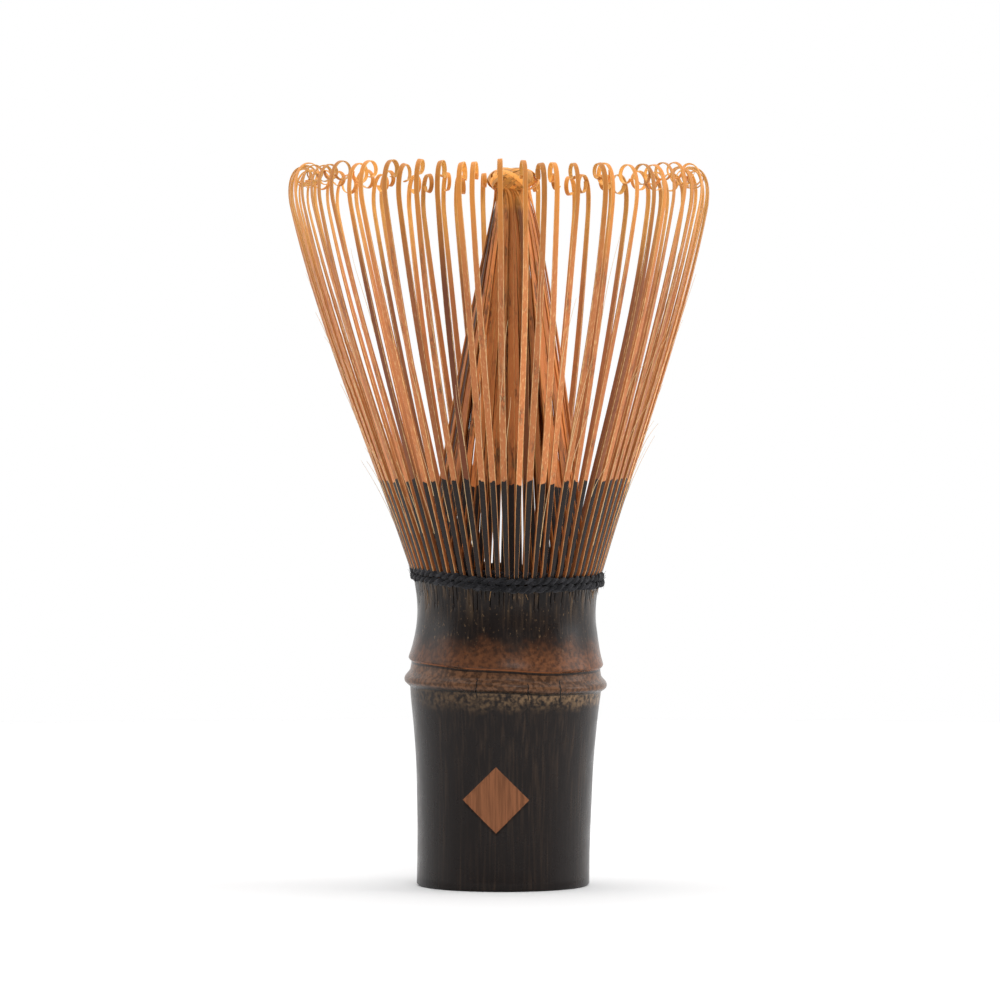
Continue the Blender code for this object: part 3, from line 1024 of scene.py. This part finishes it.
    def outline(self) -> tuple[np.ndarray, np.ndarray, np.ndarray]:
        """The turned outline, from the diaphragm's top over the rim and foot to its bottom.

        Returns:
            Radii and heights as columns, and which rows are on the skin.
        """
        turn = np.linspace(0.0, math.pi / 2, 6)
        low, high = self.diaphragm
        top, foot = self.rim, self.foot_bevel
        near, far = self.bore_round * (1 - np.sin(turn)), self.bore_round * (1 - np.cos(turn))
        upper = np.stack([self.upper_bore - near, high + far], 1)
        lower = np.stack([self.lower_bore - far, low - near], 1)
        rim_radius, foot_radius = self.skin_radius(np.array([top, 0.0]))
        skin = self.heights()
        middle = 3.0 * MM
        stages = (
            [[middle, high], *upper, [self.upper_bore, 42.0 * MM], [self.upper_bore, top]],
            [[rim_radius - 0.15 * MM, top]],
            np.stack([self.skin_radius(skin), skin], 1),
            [[foot_radius - foot, 0.0]],
            [
                [self.lower_bore + 0.2 * MM, 0.0],
                [self.lower_bore, 0.2 * MM],
                [self.lower_bore, 14.0 * MM],
                *lower,
                [middle, low],
            ],
        )
        rows = np.concatenate([np.array(stage) for stage in stages])
        on_skin = np.repeat((False, False, True, True, False), [len(stage) for stage in stages])
        return rows[:, :1], rows[:, 1:], on_skin

    def shell(self) -> Shell:
        """The whole culm, as one ring to each row of the outline.

        The skin's rings are then moved: up and down by node_shift, inwards in the slits and in the
        lozenge, and by a slow ripple, as no culm is quite round.

        Returns:
            The closed surface.
        """
        azimuth = self.columns()
        radius, height, on_skin = self.outline()
        depth, slit = self.slit_depths(height, on_skin)
        wave = 0.05 * MM * np.sin(2 * azimuth + 1.1) + 0.03 * MM * np.sin(5 * azimuth + height / (9 * MM))
        fade = on_skin[:, None] * smoothstep(0.0, 3.0 * MM, height)
        moved = radius + fade * (wave - depth - self.mark_inset(height, azimuth))
        raised = height + on_skin[:, None] * self.node_shift(height, azimuth)
        points = around(moved, azimuth, raised, CULM_LINE)

        rows, columns = moved.shape
        index = np.arange(rows * columns).reshape(rows, columns)
        beside = np.roll(index, -1, axis=1)
        quads = np.stack([index[:-1], index[1:], beside[1:], beside[:-1]], axis=-1).reshape(-1, 4)
        low, high = self.diaphragm
        poles = around(np.zeros(2), 0.0, np.array([high, low]), CULM_LINE)
        top, bottom = np.full((2, columns), rows * columns) + np.array([[0], [1]])
        fans = np.concatenate(
            [np.stack([top, index[0], beside[0]], -1), np.stack([index[-1], bottom, beside[-1]], -1)]
        )
        is_cut = ~(on_skin[:-1] & on_skin[1:])
        outline = np.concatenate([np.broadcast_to(height, moved.shape).ravel(), poles[:, 2]])
        return Shell(
            np.concatenate([points.reshape(-1, 3), poles]),
            [quads, fans],
            {"cut": [np.repeat(is_cut.astype(float), columns), np.ones(len(fans))]},
            {"outline": outline, "slit": np.concatenate([slit.ravel(), np.zeros(2)])},
        )

    def slivers(self) -> Shell:
        """Slivers of bare bamboo that hang under the lacing: straight, slanted and lifting as a square.

        Returns:
            All of them as one shell, with the culm's own numbers.
        """
        rng = np.random.default_rng(self.seed + 1)
        spread = (self.sliver_count, 1)
        t = np.linspace(0.0, 1.0, 6)[None, :]
        height = rng.uniform(46.2, 47.4, spread) * MM - rng.uniform(0.5, 2.3, spread) * MM * t
        azimuth = rng.uniform(-math.pi, math.pi, spread) + rng.uniform(-0.03, 0.03, spread) * t
        lift = rng.uniform(0.05, 0.45, spread) * MM * t**2
        path = around(self.skin_radius(height) + 0.04 * MM + lift, azimuth, height, CULM_LINE)
        half = rng.uniform(0.04, 0.085, spread) * MM * (1.0 - 0.7 * t)
        bare = fibres(path, spokes(azimuth), half, half * 0.6, Part.CUT)
        numbers = {"outline": bare.points[:, 2], "slit": np.zeros(len(bare.points))}
        return Shell(bare.points, bare.faces, {"cut": bare.face_data["cut"]}, numbers)

    def build(self, finish: bpy.types.Material) -> None:
        """Makes the culm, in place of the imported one."""
        piece = add_piece("culm", self.shell().joined(self.slivers()), finish, self.sharp_deg)
        settle(piece, ROOT_BODY, "culm_handle")


# --- Tines -----------------------------------------------------------------------------------


def stray_fibre(rng: np.random.Generator, rail: np.ndarray, out: np.ndarray, across: np.ndarray) -> Shell:
    """A fine fibre that has split off along a rail and bends away from it.

    It leaves the rail as the square of the distance, while a slow sine sways it.

    Args:
        rng: The source of its lift and sway.
        rail: Points along which it grew.
        out: Which way it lifts.
        across: Which way it sways.

    Returns:
        The fibre's closed surface.
    """
    t = np.linspace(0.0, 1.0, 14)
    at = t * (len(rail) - 1)
    base = np.stack([np.interp(at, np.arange(len(rail)), rail[:, axis]) for axis in range(3)], axis=-1)
    lift = rng.uniform(0.3, 1.9) * MM * t[:, None] ** 2
    sway = rng.uniform(-0.9, 1.2) * MM * np.sin(2.4 * t[:, None]) * t[:, None]
    path = (base + out * lift + across * sway)[None]
    half = np.interp(t, (0.0, 1.0), (0.042, 0.016))[None] * MM
    return fibres(path, np.broadcast_to(out, path.shape), half, half, Part.FIBRE)


@dataclass
class OuterTines:
    """The outer ring: 64 shaved tines, two to a piece, each ending in its own tight curl."""

    reach: float  # how far the widest tine stands from the middle
    top: float  # the height of the highest curl
    straight_stations: int = 30
    curl_stations: int = 46
    root: tuple[float, float, float] = (15.25 * MM, 49.9 * MM, 0.32)  # radius, height and slope
    # Below the root, the heel's (radius, height, slope) in mm
    heel: tuple[tuple[float, ...], ...] = (
        (13.95, 45.9, 0.15), (14.14, 47.0, 0.25), (14.54, 48.4, 0.33), (14.9, 49.2, 0.4),
    )
    # Half sizes in mm, as (place along the tine, size)
    widths: Line = ((0.0, 0.36), (0.05, 0.42), (0.35, 0.47), (0.75, 0.43), (0.9, 0.39), (1.0, 0.33))
    depths: Line = (
        (0.0, 0.42), (0.06, 0.38), (0.3, 0.27), (0.6, 0.18), (0.86, 0.11), (0.93, 0.085), (1.0, 0.055),
    )
    curl_along: float = 0.88  # the place along a tine where its curl starts
    bend_span: Pair = mm(48.6, 60.0)  # heights of a stretch just above the lacing
    end_slope: float = 0.225
    start_bend: float = 17.0 * MM
    tightens_over: float = math.radians(19.0)
    fibres: int = 110
    seed: int = 7

    def curls(self, rng: np.random.Generator, slope: np.ndarray) -> tuple[np.ndarray, ...]:
        """Each tine's curl, with the shoulder where it begins at 0.

        The bend's radius falls from start_bend to the tine's own end radius as an exponential of
        the angle turned, and the position is the running sum of arc times direction.

        Args:
            rng: The source of each curl's size.
            slope: Each tine's outward slope at its shoulder.

        Returns:
            Radius, height, lean, and the share of the curl that is turned, as (tines, stations).
        """
        turn = np.radians(rng.uniform(300.0, 395.0, (TINES, 1)))
        end_bend = rng.uniform(1.25, 1.75, (TINES, 1)) * MM
        winding = rng.uniform(0.0, 0.30, (TINES, 1)) * MM
        share = np.linspace(0.0, 1.0, 12 * self.curl_stations + 1)[None, :] ** 1.25
        turned = share * turn
        middle = (turned[:, 1:] + turned[:, :-1]) / 2
        spare = self.start_bend - end_bend
        bend = end_bend + spare * np.exp(-middle / self.tightens_over) - winding * middle / math.tau
        step = np.diff(turned, axis=1) * bend
        way = np.arctan(slope) - middle
        radius = np.cumsum(step * np.sin(way), axis=1)
        height = np.cumsum(step * np.cos(way), axis=1)
        lean = np.arctan(slope) - turned[:, 1:]
        kept = slice(11, None, 12)
        share = np.broadcast_to(share[:, 1:], radius.shape)
        return radius[:, kept], height[:, kept], lean[:, kept], share[:, kept]

    def straights(
        self, radius_b: np.ndarray, height_b: np.ndarray, slope_b: np.ndarray
    ) -> tuple[np.ndarray, np.ndarray, np.ndarray]:
        """Radius, height and lean of each tine from its heel to its shoulder.

        The heel rises inside the lacing, and above it each tine is the cubic between the root and
        its own shoulder.

        Args:
            radius_b: The shoulders' radii.
            height_b: Their heights.
            slope_b: Their outward slopes.

        Returns:
            Radius, height and lean, each as (tines, stations).
        """
        t = np.linspace(0.0, 1.0, self.straight_stations)[None, :]
        radius_a, height_a, slope_a = self.root
        rise = height_b - height_a
        radius = cubic(t, radius_a, radius_b, rise * slope_a, rise * slope_b)
        slope = (
            (6 * t**2 - 6 * t) * (radius_a - radius_b) / rise
            + (3 * t**2 - 4 * t + 1) * slope_a
            + (3 * t**2 - 2 * t) * slope_b
        )
        heel = np.broadcast_to(np.array(self.heel).T[:, None, :], (3, TINES, len(self.heel)))
        return (
            np.concatenate([heel[0] * MM, radius], axis=1),
            np.concatenate([heel[1] * MM, height_a + rise * t], axis=1),
            np.concatenate([np.arctan(heel[2]), np.arctan(slope)], axis=1),
        )

    def surfaces(self) -> tuple[np.ndarray, np.ndarray]:
        """Points of all 64 tines, and how far along its tine each station is.

        A tine's azimuth drifts from its place at the heel to its own place at the shoulder, it
        bows a little sideways between, and its curl leans to one side as it turns.

        Returns:
            Points as (tines, stations, corners, 3), and places from 0 to 1 as (tines, stations).
        """
        rng = np.random.default_rng(self.seed)
        azimuth = FRONT + np.arange(TINES)[:, None] * PITCH
        wander = np.radians(rng.uniform(-1.9, 1.9, (TINES, 1)))
        slope = self.end_slope + rng.normal(0.0, 0.018, (TINES, 1))
        curl_radius, curl_height, curl_lean, share = self.curls(rng, slope)
        reach = self.reach - rng.uniform(0.05, 0.6, (TINES, 1)) * MM - curl_radius.max(axis=1, keepdims=True)
        top = self.top - rng.uniform(0.05, 1.0, (TINES, 1)) * MM - curl_height.max(axis=1, keepdims=True)
        radius, height, lean = self.straights(reach, top, slope)

        rise = np.clip((height - self.root[1]) / (top - self.root[1]), 0.0, 1.0)
        drift = wander * smoothstep(0.0, 0.9, rise)
        bow = rng.normal(0.0, 0.25, (TINES, 1)) * MM * np.sin(math.pi * rise)
        aside = rng.normal(0.0, 0.45, (TINES, 1)) * MM * share**1.3
        radius = np.concatenate([radius, reach + curl_radius], axis=1)
        height = np.concatenate([height, top + curl_height], axis=1)
        lean = np.concatenate([lean, curl_lean], axis=1)
        sideways = np.concatenate([bow, aside], axis=1)
        turn = azimuth + np.concatenate([drift, np.broadcast_to(wander, share.shape)], axis=1)
        start = self.curl_along
        along = np.concatenate([start * rise, start + (1.0 - start) * share], axis=1)

        half_width = through(self.widths, along) * MM * rng.normal(1.0, 0.05, (TINES, 1))
        half_depth = through(self.depths, along) * MM
        radial = spokes(turn)
        facing = radial * np.cos(lean)[..., None] - UP * np.sin(lean)[..., None]
        path = around(radius, turn, height, CULM_LINE) + np.cross(UP, radial) * sideways[..., None]
        path = path - facing * half_depth[..., None] * TINE_SECTION[:, 1].max()
        twist = rng.normal(0.0, 0.12, (TINES, 1)) * along
        twist = twist + rng.normal(0.0, 0.16, (TINES, 1)) * smoothstep(0.8, 1.0, along)
        return swept(path, facing, half_width, half_depth, TINE_SECTION, twist), along

    def fibre(self, rng: np.random.Generator, tine: np.ndarray) -> Shell:
        """A stray fibre off one of a tine's two arrises, somewhere along its straight part.

        Args:
            rng: The source of its place, length and side.
            tine: The tine's points, as (stations, corners, 3).

        Returns:
            The fibre's closed surface.
        """
        start = int(rng.integers(6, self.straight_stations - 6))
        length = int(rng.integers(4, 10))
        side = rng.choice([-1.0, 1.0])
        rail = tine[start : start + length, 3 if side > 0 else 0]
        out = unit(tine[start, 1] - tine[start, 7])
        across = unit(tine[start, 3] - tine[start, 0]) * side
        return stray_fibre(rng, rail, out, across)

    def build(self, finish: bpy.types.Material) -> None:
        """Makes the 32 pairs, each riding on its own body.

        Args:
            finish: The tines' material.
        """
        points, along = self.surfaces()
        rng = np.random.default_rng(self.seed + 1)
        tint = rng.uniform(-1.0, 1.0, TINES)
        frayed = rng.integers(0, TINES, self.fibres)
        for first in range(0, TINES, 2):
            name = f"{first // TINES_PER_SLAT + 1:02d}{'ab'[first // 2 % 2]}"
            pair = slice(first, first + 2)
            shell = tubes(points[pair], TINE_SECTION, TINE_SIDES, tint[pair], along[pair])
            for tine in frayed[frayed // 2 == first // 2]:
                shell = shell.joined(self.fibre(rng, points[tine]))
            piece = add_piece(f"outer_pair_{name}", shell, finish, TINE_SHARP_DEG)
            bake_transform(piece)
            settle(piece, f"outer_{name}", f"outer_tines_{name}")


@dataclass
class InnerTuft:
    """The inner tuft: 64 narrow tines that lean together and lock in a knot of curls."""

    straight_stations: int = 26
    knot_stations: int = 52
    root: Pair = mm(13.1, 46.6)  # radius and height
    neck: Pair = mm(3.4, 107.4)
    bulge: float = 0.45 * MM
    # Half sizes in mm, as (place along the tine, size)
    widths: Line = (
        (0.0, 0.42), (0.3, 0.45), (0.6, 0.43), (0.84, 0.30), (0.9, 0.38), (0.95, 0.42), (1.0, 0.30),
    )
    depths: Line = ((0.0, 0.42), (0.1, 0.3), (0.5, 0.2), (0.85, 0.10), (1.0, 0.055))
    knot_middle: float = 110.65 * MM
    knot_half: Pair = mm(4.4, 2.42)
    knot_rise: Pair = mm(107.4, 109.2)  # heights over which the skin turns to face off the knot
    knot_start: float = math.radians(-52.0)  # the latitude where a curl leaves the neck
    seed: int = 23

    def straights(self, rng: np.random.Generator) -> tuple[np.ndarray, np.ndarray]:
        """Middle lines of the tines up to the neck, and their azimuths there.

        A tine runs straight in radius, bulging outwards by a sine, and sways to one side as the
        square of its length.

        Args:
            rng: The source of each tine's bulge and sway.

        Returns:
            Points as (tines, stations, 3), and azimuths as (tines, 1).
        """
        azimuth = FRONT + (np.arange(TINES)[:, None] + 0.5) * PITCH
        t = np.linspace(0.0, 1.0, self.straight_stations)[None, :]
        (radius_a, height_a), (radius_b, height_b) = self.root, self.neck
        bulge = self.bulge + rng.normal(0.0, 0.22, (TINES, 1)) * MM
        packed = radius_b * rng.uniform(0.5, 1.0, (TINES, 1))
        radius = radius_a + (packed - radius_a) * t + bulge * np.sin(math.pi * t)
        sway = np.radians(rng.normal(0.0, 7.0, (TINES, 1)))
        height = height_a + (height_b - height_a) * t
        return around(radius, azimuth + sway * t**2, height, TUFT_LINE), azimuth + sway

    def curls(self, rng: np.random.Generator, azimuth: np.ndarray) -> np.ndarray:
        """Middle lines of the tips, which wind over the knot to their left.

        Each follows a great circle p = a cos(s) + b sin(s) of a ball squashed to knot_half, where a
        is its start at the neck and b the direction in which it climbs. It starts inside the knot,
        comes out to its own layer, winds over the top and down again, and tucks in at its end.

        Args:
            rng: The source of each tip's climb, length and layer.
            azimuth: Where each tine reaches the neck.

        Returns:
            Points as (tines, stations, 3).
        """
        climb = np.radians(rng.uniform(4.0, 62.0, (TINES, 1)))
        length = np.radians(rng.uniform(190.0, 300.0, (TINES, 1)))
        layer = rng.uniform(0.74, 1.0, (TINES, 1))
        u = np.linspace(0.05, 1.0, self.knot_stations)[None, :]
        low, flat = math.sin(self.knot_start), math.cos(self.knot_start)
        radial = spokes(azimuth)
        start = flat * radial + low * UP
        left = np.cross(radial, UP)
        up = flat * UP - low * radial
        way = left * np.cos(climb)[..., None] + up * np.sin(climb)[..., None]
        angle = (length * u)[..., None]
        ball = start * np.cos(angle) + way * np.sin(angle)
        depth = layer * (0.72 + 0.28 * smoothstep(0.1, 0.6, u) - 0.14 * smoothstep(0.86, 1.0, u))
        wide, tall = self.knot_half
        scaled = ball * depth[..., None] * np.array([wide, wide, tall])
        return around(0.0, 0.0, self.knot_middle, TUFT_LINE) + scaled

    def paths(self, rng: np.random.Generator) -> tuple[np.ndarray, np.ndarray]:
        """Whole middle lines, with a running mean where tine and tip join.

        Args:
            rng: The source of each tine's own run.

        Returns:
            Points as (tines, stations, 3), and places from 0 to 1 as (tines, stations).
        """
        straight, azimuth = self.straights(rng)
        path = np.concatenate([straight, self.curls(rng, azimuth)], axis=1)
        for _ in range(4):
            near = slice(self.straight_stations - 4, self.straight_stations + 5)
            before = path[:, near.start - 1 : near.stop - 1]
            after = path[:, near.start + 1 : near.stop + 1]
            path[:, near] = (before + 2.0 * path[:, near] + after) / 4.0
        shares = (np.linspace(0.0, 0.86, self.straight_stations), np.linspace(0.87, 1.0, self.knot_stations))
        return path, np.broadcast_to(np.concatenate(shares), path.shape[:2])

    def facing(self, path: np.ndarray) -> np.ndarray:
        """Which way the skin faces: off the tuft's middle line below the knot, off the ball in it.

        Args:
            path: The tines' middle lines.

        Returns:
            Directions of length 1, in the same shape.
        """
        away = path - around(0.0, 0.0, path[..., 2], TUFT_LINE)
        aspect = (self.knot_half[0] / self.knot_half[1]) ** 2
        in_knot = smoothstep(*self.knot_rise, path[..., 2])
        away[..., 2] = aspect * (path[..., 2] - self.knot_middle) * in_knot
        return unit(away)

    def build(self, finish: bpy.types.Material) -> None:
        """Makes one piece of four tines for each slat.

        Args:
            finish: The tines' material.
        """
        rng = np.random.default_rng(self.seed)
        path, along = self.paths(rng)
        half_width = through(self.widths, along) * MM * rng.uniform(0.8, 1.15, (TINES, 1))
        half_depth = through(self.depths, along) * MM
        twist = rng.normal(0.0, 0.22, (TINES, 1)) * along
        points = swept(path, self.facing(path), half_width, half_depth, TINE_SECTION, twist)
        azimuth = FRONT + (np.arange(TINES) + 0.5) * PITCH
        # The tint is each tine's own random tone plus painted side light: 0.5 cos(azimuth) lightens the tines
        # on the right (+X) and darkens those on the left as painted shade.
        tint = np.clip(0.05 + 0.5 * np.cos(azimuth) + rng.uniform(-0.75, 0.75, TINES), -1.0, 1.0)
        for slat in range(SLATS):
            four = slice(slat * TINES_PER_SLAT, (slat + 1) * TINES_PER_SLAT)
            shell = tubes(points[four], TINE_SECTION, TINE_SIDES, tint[four], along[four])
            piece = add_piece(f"tuft_tines_{slat + 1:02d}", shell, finish, TINE_SHARP_DEG)
            settle(piece, ROOT_BODY, f"inner_tines_{slat + 1:02d}")


# --- Lacing ----------------------------------------------------------------------------------


@dataclass
class Lacing:
    """The black thread: two twined rows round the heels, and one pass between the two rings."""

    radius: float = 14.88 * MM
    height: float = 48.35 * MM
    row: float = 0.54 * MM  # how far each twined row is above or below the middle of the band
    inner_radius: float = 13.75 * MM
    inner_height: float = 49.75 * MM
    swing: Pair = mm(0.18, 0.27)  # in radius and in height
    half: Pair = mm(0.26, 0.33)
    plies: int = 3
    lay: int = 96  # turns of the plies in one round
    stations: int = 2048
    corners: int = 14
    fuzz: int = 260
    sharp_deg: float = 80.0
    seed: int = 5

    @staticmethod
    def sag(azimuth: np.ndarray) -> np.ndarray:
        """How far the band is raised, by waves once and twice round: most on the left, least at the front.

        Args:
            azimuth: Angles round the whisk.

        Returns:
            The rise at each.
        """
        waves = (0.10, -0.59 * np.cos(azimuth), 0.28 * np.sin(azimuth), 0.38 * np.cos(2 * azimuth))
        return sum(waves) * MM

    def strand(self, radius: float, height: float, swing: Pair, phase: float) -> Shell:
        """One closed strand that winds round a ring.

        Its middle is a ring whose radius follows a cosine and height a sine, once to every two
        tines, and its section is an ellipse with one lobe to each ply that turns as it goes.

        Args:
            radius: The ring's radius.
            height: The ring's mean height.
            swing: How far the strand swings in radius and in height.
            phase: Where in its swing it starts.

        Returns:
            The strand's closed surface.
        """
        rng = np.random.default_rng(self.seed + round(height / (0.01 * MM)))
        turn = np.linspace(0.0, math.tau, self.stations, endpoint=False)
        slow, quick, uneven, lump, drift = rng.uniform(0.0, math.tau, 5)
        wave = TINES / 2 * turn + phase + 0.5 * np.sin(5 * turn + slow) + 0.3 * np.sin(17 * turn + quick)
        size = 1.0 + 0.09 * np.sin(13 * turn + uneven) + 0.11 * np.sin(37 * turn + lump)
        level = height + self.sag(turn) + 0.07 * MM * np.sin(5 * turn + drift)
        out, rise = swing[0] * np.cos(wave), swing[1] * size * np.sin(wave)
        path = around(radius + out, turn, level + rise, CULM_LINE)
        looped = np.concatenate([path[-1:], path, path[:1]])
        ahead = unit(looped[2:] - looped[:-2])
        up = unit(np.cross(spokes(turn), ahead))
        out = np.cross(ahead, up)
        angle = np.linspace(0.0, math.tau, self.corners, endpoint=False)
        twist = self.lay * turn[:, None] / self.plies
        lobes = size[:, None] * (1.0 + 0.11 * np.cos(self.plies * (angle - twist)))
        across = self.half[0] * lobes * np.cos(angle)
        rise = self.half[1] * lobes * np.sin(angle)
        points = path[:, None] + out[:, None] * across[..., None] + up[:, None] * rise[..., None]
        index = np.arange(points[..., 0].size).reshape(points.shape[:2])
        nexts, beside = np.roll(index, -1, axis=0), np.roll(index, -1, axis=1)
        quads = np.stack([index, nexts, np.roll(nexts, -1, axis=1), beside], axis=-1).reshape(-1, 4)
        return Shell(points.reshape(-1, 3), [quads], {"cut": [np.zeros(len(quads))]}, {})

    def twined(self, radius: float, height: float, loose: float) -> Shell:
        """One row: two strands half a wave apart, which cross between the tines.

        Args:
            radius: The row's radius.
            height: Its mean height.
            loose: How much further than usual the strands swing up and down.

        Returns:
            Both strands.
        """
        swing = (self.swing[0], self.swing[1] * loose)
        over, under = (self.strand(radius, height, swing, phase) for phase in (0.0, math.pi))
        return over.joined(under)

    def fluff(self) -> Shell:
        """Fine cotton fibres that stand off the band: short arcs that bend back as a square.

        Returns:
            All of them as one shell.
        """
        rng = np.random.default_rng(self.seed)
        turn, tilt, bend = rng.uniform(-math.pi, math.pi, (3, self.fuzz, 1))
        length = rng.uniform(0.35, 0.95, (self.fuzz, 1)) * MM
        t = np.linspace(0.0, 1.0, 6)[None, :]
        level = self.height + self.sag(turn) + rng.uniform(-0.8, 0.8, (self.fuzz, 1)) * MM
        radius = self.radius + 0.25 * MM + length * t * (0.6 + 0.4 * np.cos(tilt)) * 0.6
        swung = turn + length * (np.sin(tilt) * t + 0.3 * bend * t**2) / self.radius
        path = around(radius, swung, level + length * np.cos(tilt) * t, CULM_LINE)
        half = np.broadcast_to(np.interp(t, (0.0, 1.0), (0.022, 0.010)) * MM, path.shape[:2])
        return fibres(path, np.broadcast_to(UP, path.shape), half, half, Part.SKIN)

    def build(self, finish: bpy.types.Material) -> None:
        """Makes both rows and the inner pass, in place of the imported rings.

        Args:
            finish: The thread's material.
        """
        shells = {
            "lower_strand": self.twined(self.radius, self.height - self.row, 1.0).joined(self.fluff()),
            "upper_strand": self.twined(self.radius, self.height + self.row, 1.0),
            "inner_strand": self.twined(self.inner_radius, self.inner_height, 1.25),
        }
        for name, shell in shells.items():
            piece = add_piece(f"thread_{name}", shell, finish, self.sharp_deg)
            settle(piece, ROOT_BODY, f"lacing_{name}")


# --- Studio ----------------------------------------------------------------------------------


@dataclass
class Studio:
    """The seamless paper, the soft lights and the camera."""

    camera_height: float = 80.6 * MM
    camera_distance: float = 921.0 * MM
    target: tuple[float, ...] = mm(0.23, 0.0, 60.7)
    lens_mm: float = 210.5
    paper_radius: float = 0.44
    paper_front: float = -0.42
    paper_sides: int = 96
    sensor_mm: float = 36.0
    nearest: float = 0.01  # what is nearer to the camera than this isn't drawn
    sky: Pair = (0.26, 1.17)  # the air's light from the front and from the back
    sky_turn: Pair = (-0.75, 0.35)  # the directions' y between which the one turns into the other
    # Name, place, side in metres and watts of each soft light
    lights: tuple[tuple[str, tuple[float, ...], float, float], ...] = (
        ("overhead_softbox", (0.0, 0.05, 0.95), 1.1, 3.6),
        ("left_softbox", (-0.75, 0.05, 0.30), 0.5, 0.95),
        ("right_softbox", (0.75, 0.0, 0.32), 0.5, 1.9),
        ("front_fill", (0.25, -0.9, 0.75), 0.5, 3.2),
    )

    def paper(self, finish: bpy.types.Material) -> None:
        """The floor: a round sheet, cut straight in front so that the culm doesn't mirror it.

        Args:
            finish: The paper's material.
        """
        turn = np.linspace(0.0, math.tau, self.paper_sides, endpoint=False)
        edge = around(self.paper_radius, turn, 0.0, CULM_LINE)
        edge[:, 1] = np.maximum(edge[:, 1], self.paper_front)
        mesh = bpy.data.meshes.new("studio_paper")
        mesh.from_pydata(edge.tolist(), [], [list(range(len(edge)))])
        mesh.materials.append(finish)
        sheet = bpy.data.objects.new("studio_paper", mesh)
        bpy.context.scene.collection.objects.link(sheet)
        sheet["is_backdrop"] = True

    def aimed(self, name: str, data: bpy.types.ID, place: tuple[float, ...]) -> bpy.types.Object:
        """Places a light or a camera so that it looks at the whisk's middle.

        Args:
            name: The object's name.
            data: The light or the camera.
            place: Where it stands.

        Returns:
            The object.
        """
        holder = bpy.data.objects.new(name, data)
        holder.location = place
        holder.rotation_euler = (Vector(self.target) - Vector(place)).to_track_quat("-Z", "Y").to_euler()
        bpy.context.scene.collection.objects.link(holder)
        return holder

    def air(self) -> None:
        """Even white air to look at, whose light falls off towards the front of the studio."""
        world = bpy.data.worlds.new("studio_air")
        bpy.context.scene.world = world
        world.use_nodes = True
        tree = world.node_tree
        way = add_node(tree, "SeparateXYZ", {0: add_node(tree, "TexCoord", {}, "Generated")}, "Y")
        spans = zip(("From Min", "From Max", "To Min", "To Max"), (*self.sky_turn, *self.sky))
        fall = add_node(tree, "MapRange", {"Value": way, **dict(spans)}, interpolation_type="SMOOTHSTEP")
        glow = tree.nodes["Background"]
        join(tree, WHITE, glow.inputs["Color"])
        join(tree, fall, glow.inputs["Strength"])
        seen = add_node(tree, "Background", {"Color": WHITE})
        by_camera = add_node(tree, "LightPath", {}, "Is Camera Ray")
        both = add_node(tree, "MixShader", {0: by_camera, 1: glow.outputs[0], 2: seen})
        join(tree, both, tree.nodes["World Output"].inputs["Surface"])

    def build(self, finish: bpy.types.Material) -> None:
        """Sets the paper, the air, the lights and the camera.

        Args:
            finish: The paper's material.
        """
        self.paper(finish)
        self.air()
        for name, place, side, watts in self.lights:
            lamp = bpy.data.lights.new(name, "AREA")
            lamp.size = side
            lamp.energy = watts
            self.aimed(name, lamp, place)
        camera = bpy.data.cameras.new("studio_camera")
        camera.lens = self.lens_mm
        camera.sensor_width = self.sensor_mm
        camera.clip_start = self.nearest
        place = (self.target[0], -self.camera_distance, self.camera_height)
        bpy.context.scene.camera = self.aimed("studio_camera", camera, place)
        bpy.context.scene.view_settings.view_transform = "Standard"


def settle(piece: bpy.types.Object, body: str, node: str) -> None:
    """Makes a piece ride on its body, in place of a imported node.

    Args:
        piece: The piece.
        body: The body's name.
        node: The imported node's name.
    """
    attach(piece, body)
    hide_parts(node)


def main() -> None:
    """Builds the studio and every sub-assembly in order."""
    logging.basicConfig(level=logging.INFO, format="%(name)s: %(message)s")
    cad_box = [[float(value) for value in corner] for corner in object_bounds()]
    (_, _, _), (reach, _, top) = cad_box
    Studio().build(StudioWhite().dress())
    Culm().build(SmokedSkin().dress())
    OuterTines(reach, top).build(OUTER_BAMBOO.dress())
    InnerTuft().build(INNER_BAMBOO.dress())
    Lacing().build(BlackThread().dress())


if __name__ == "__main__":
    main()
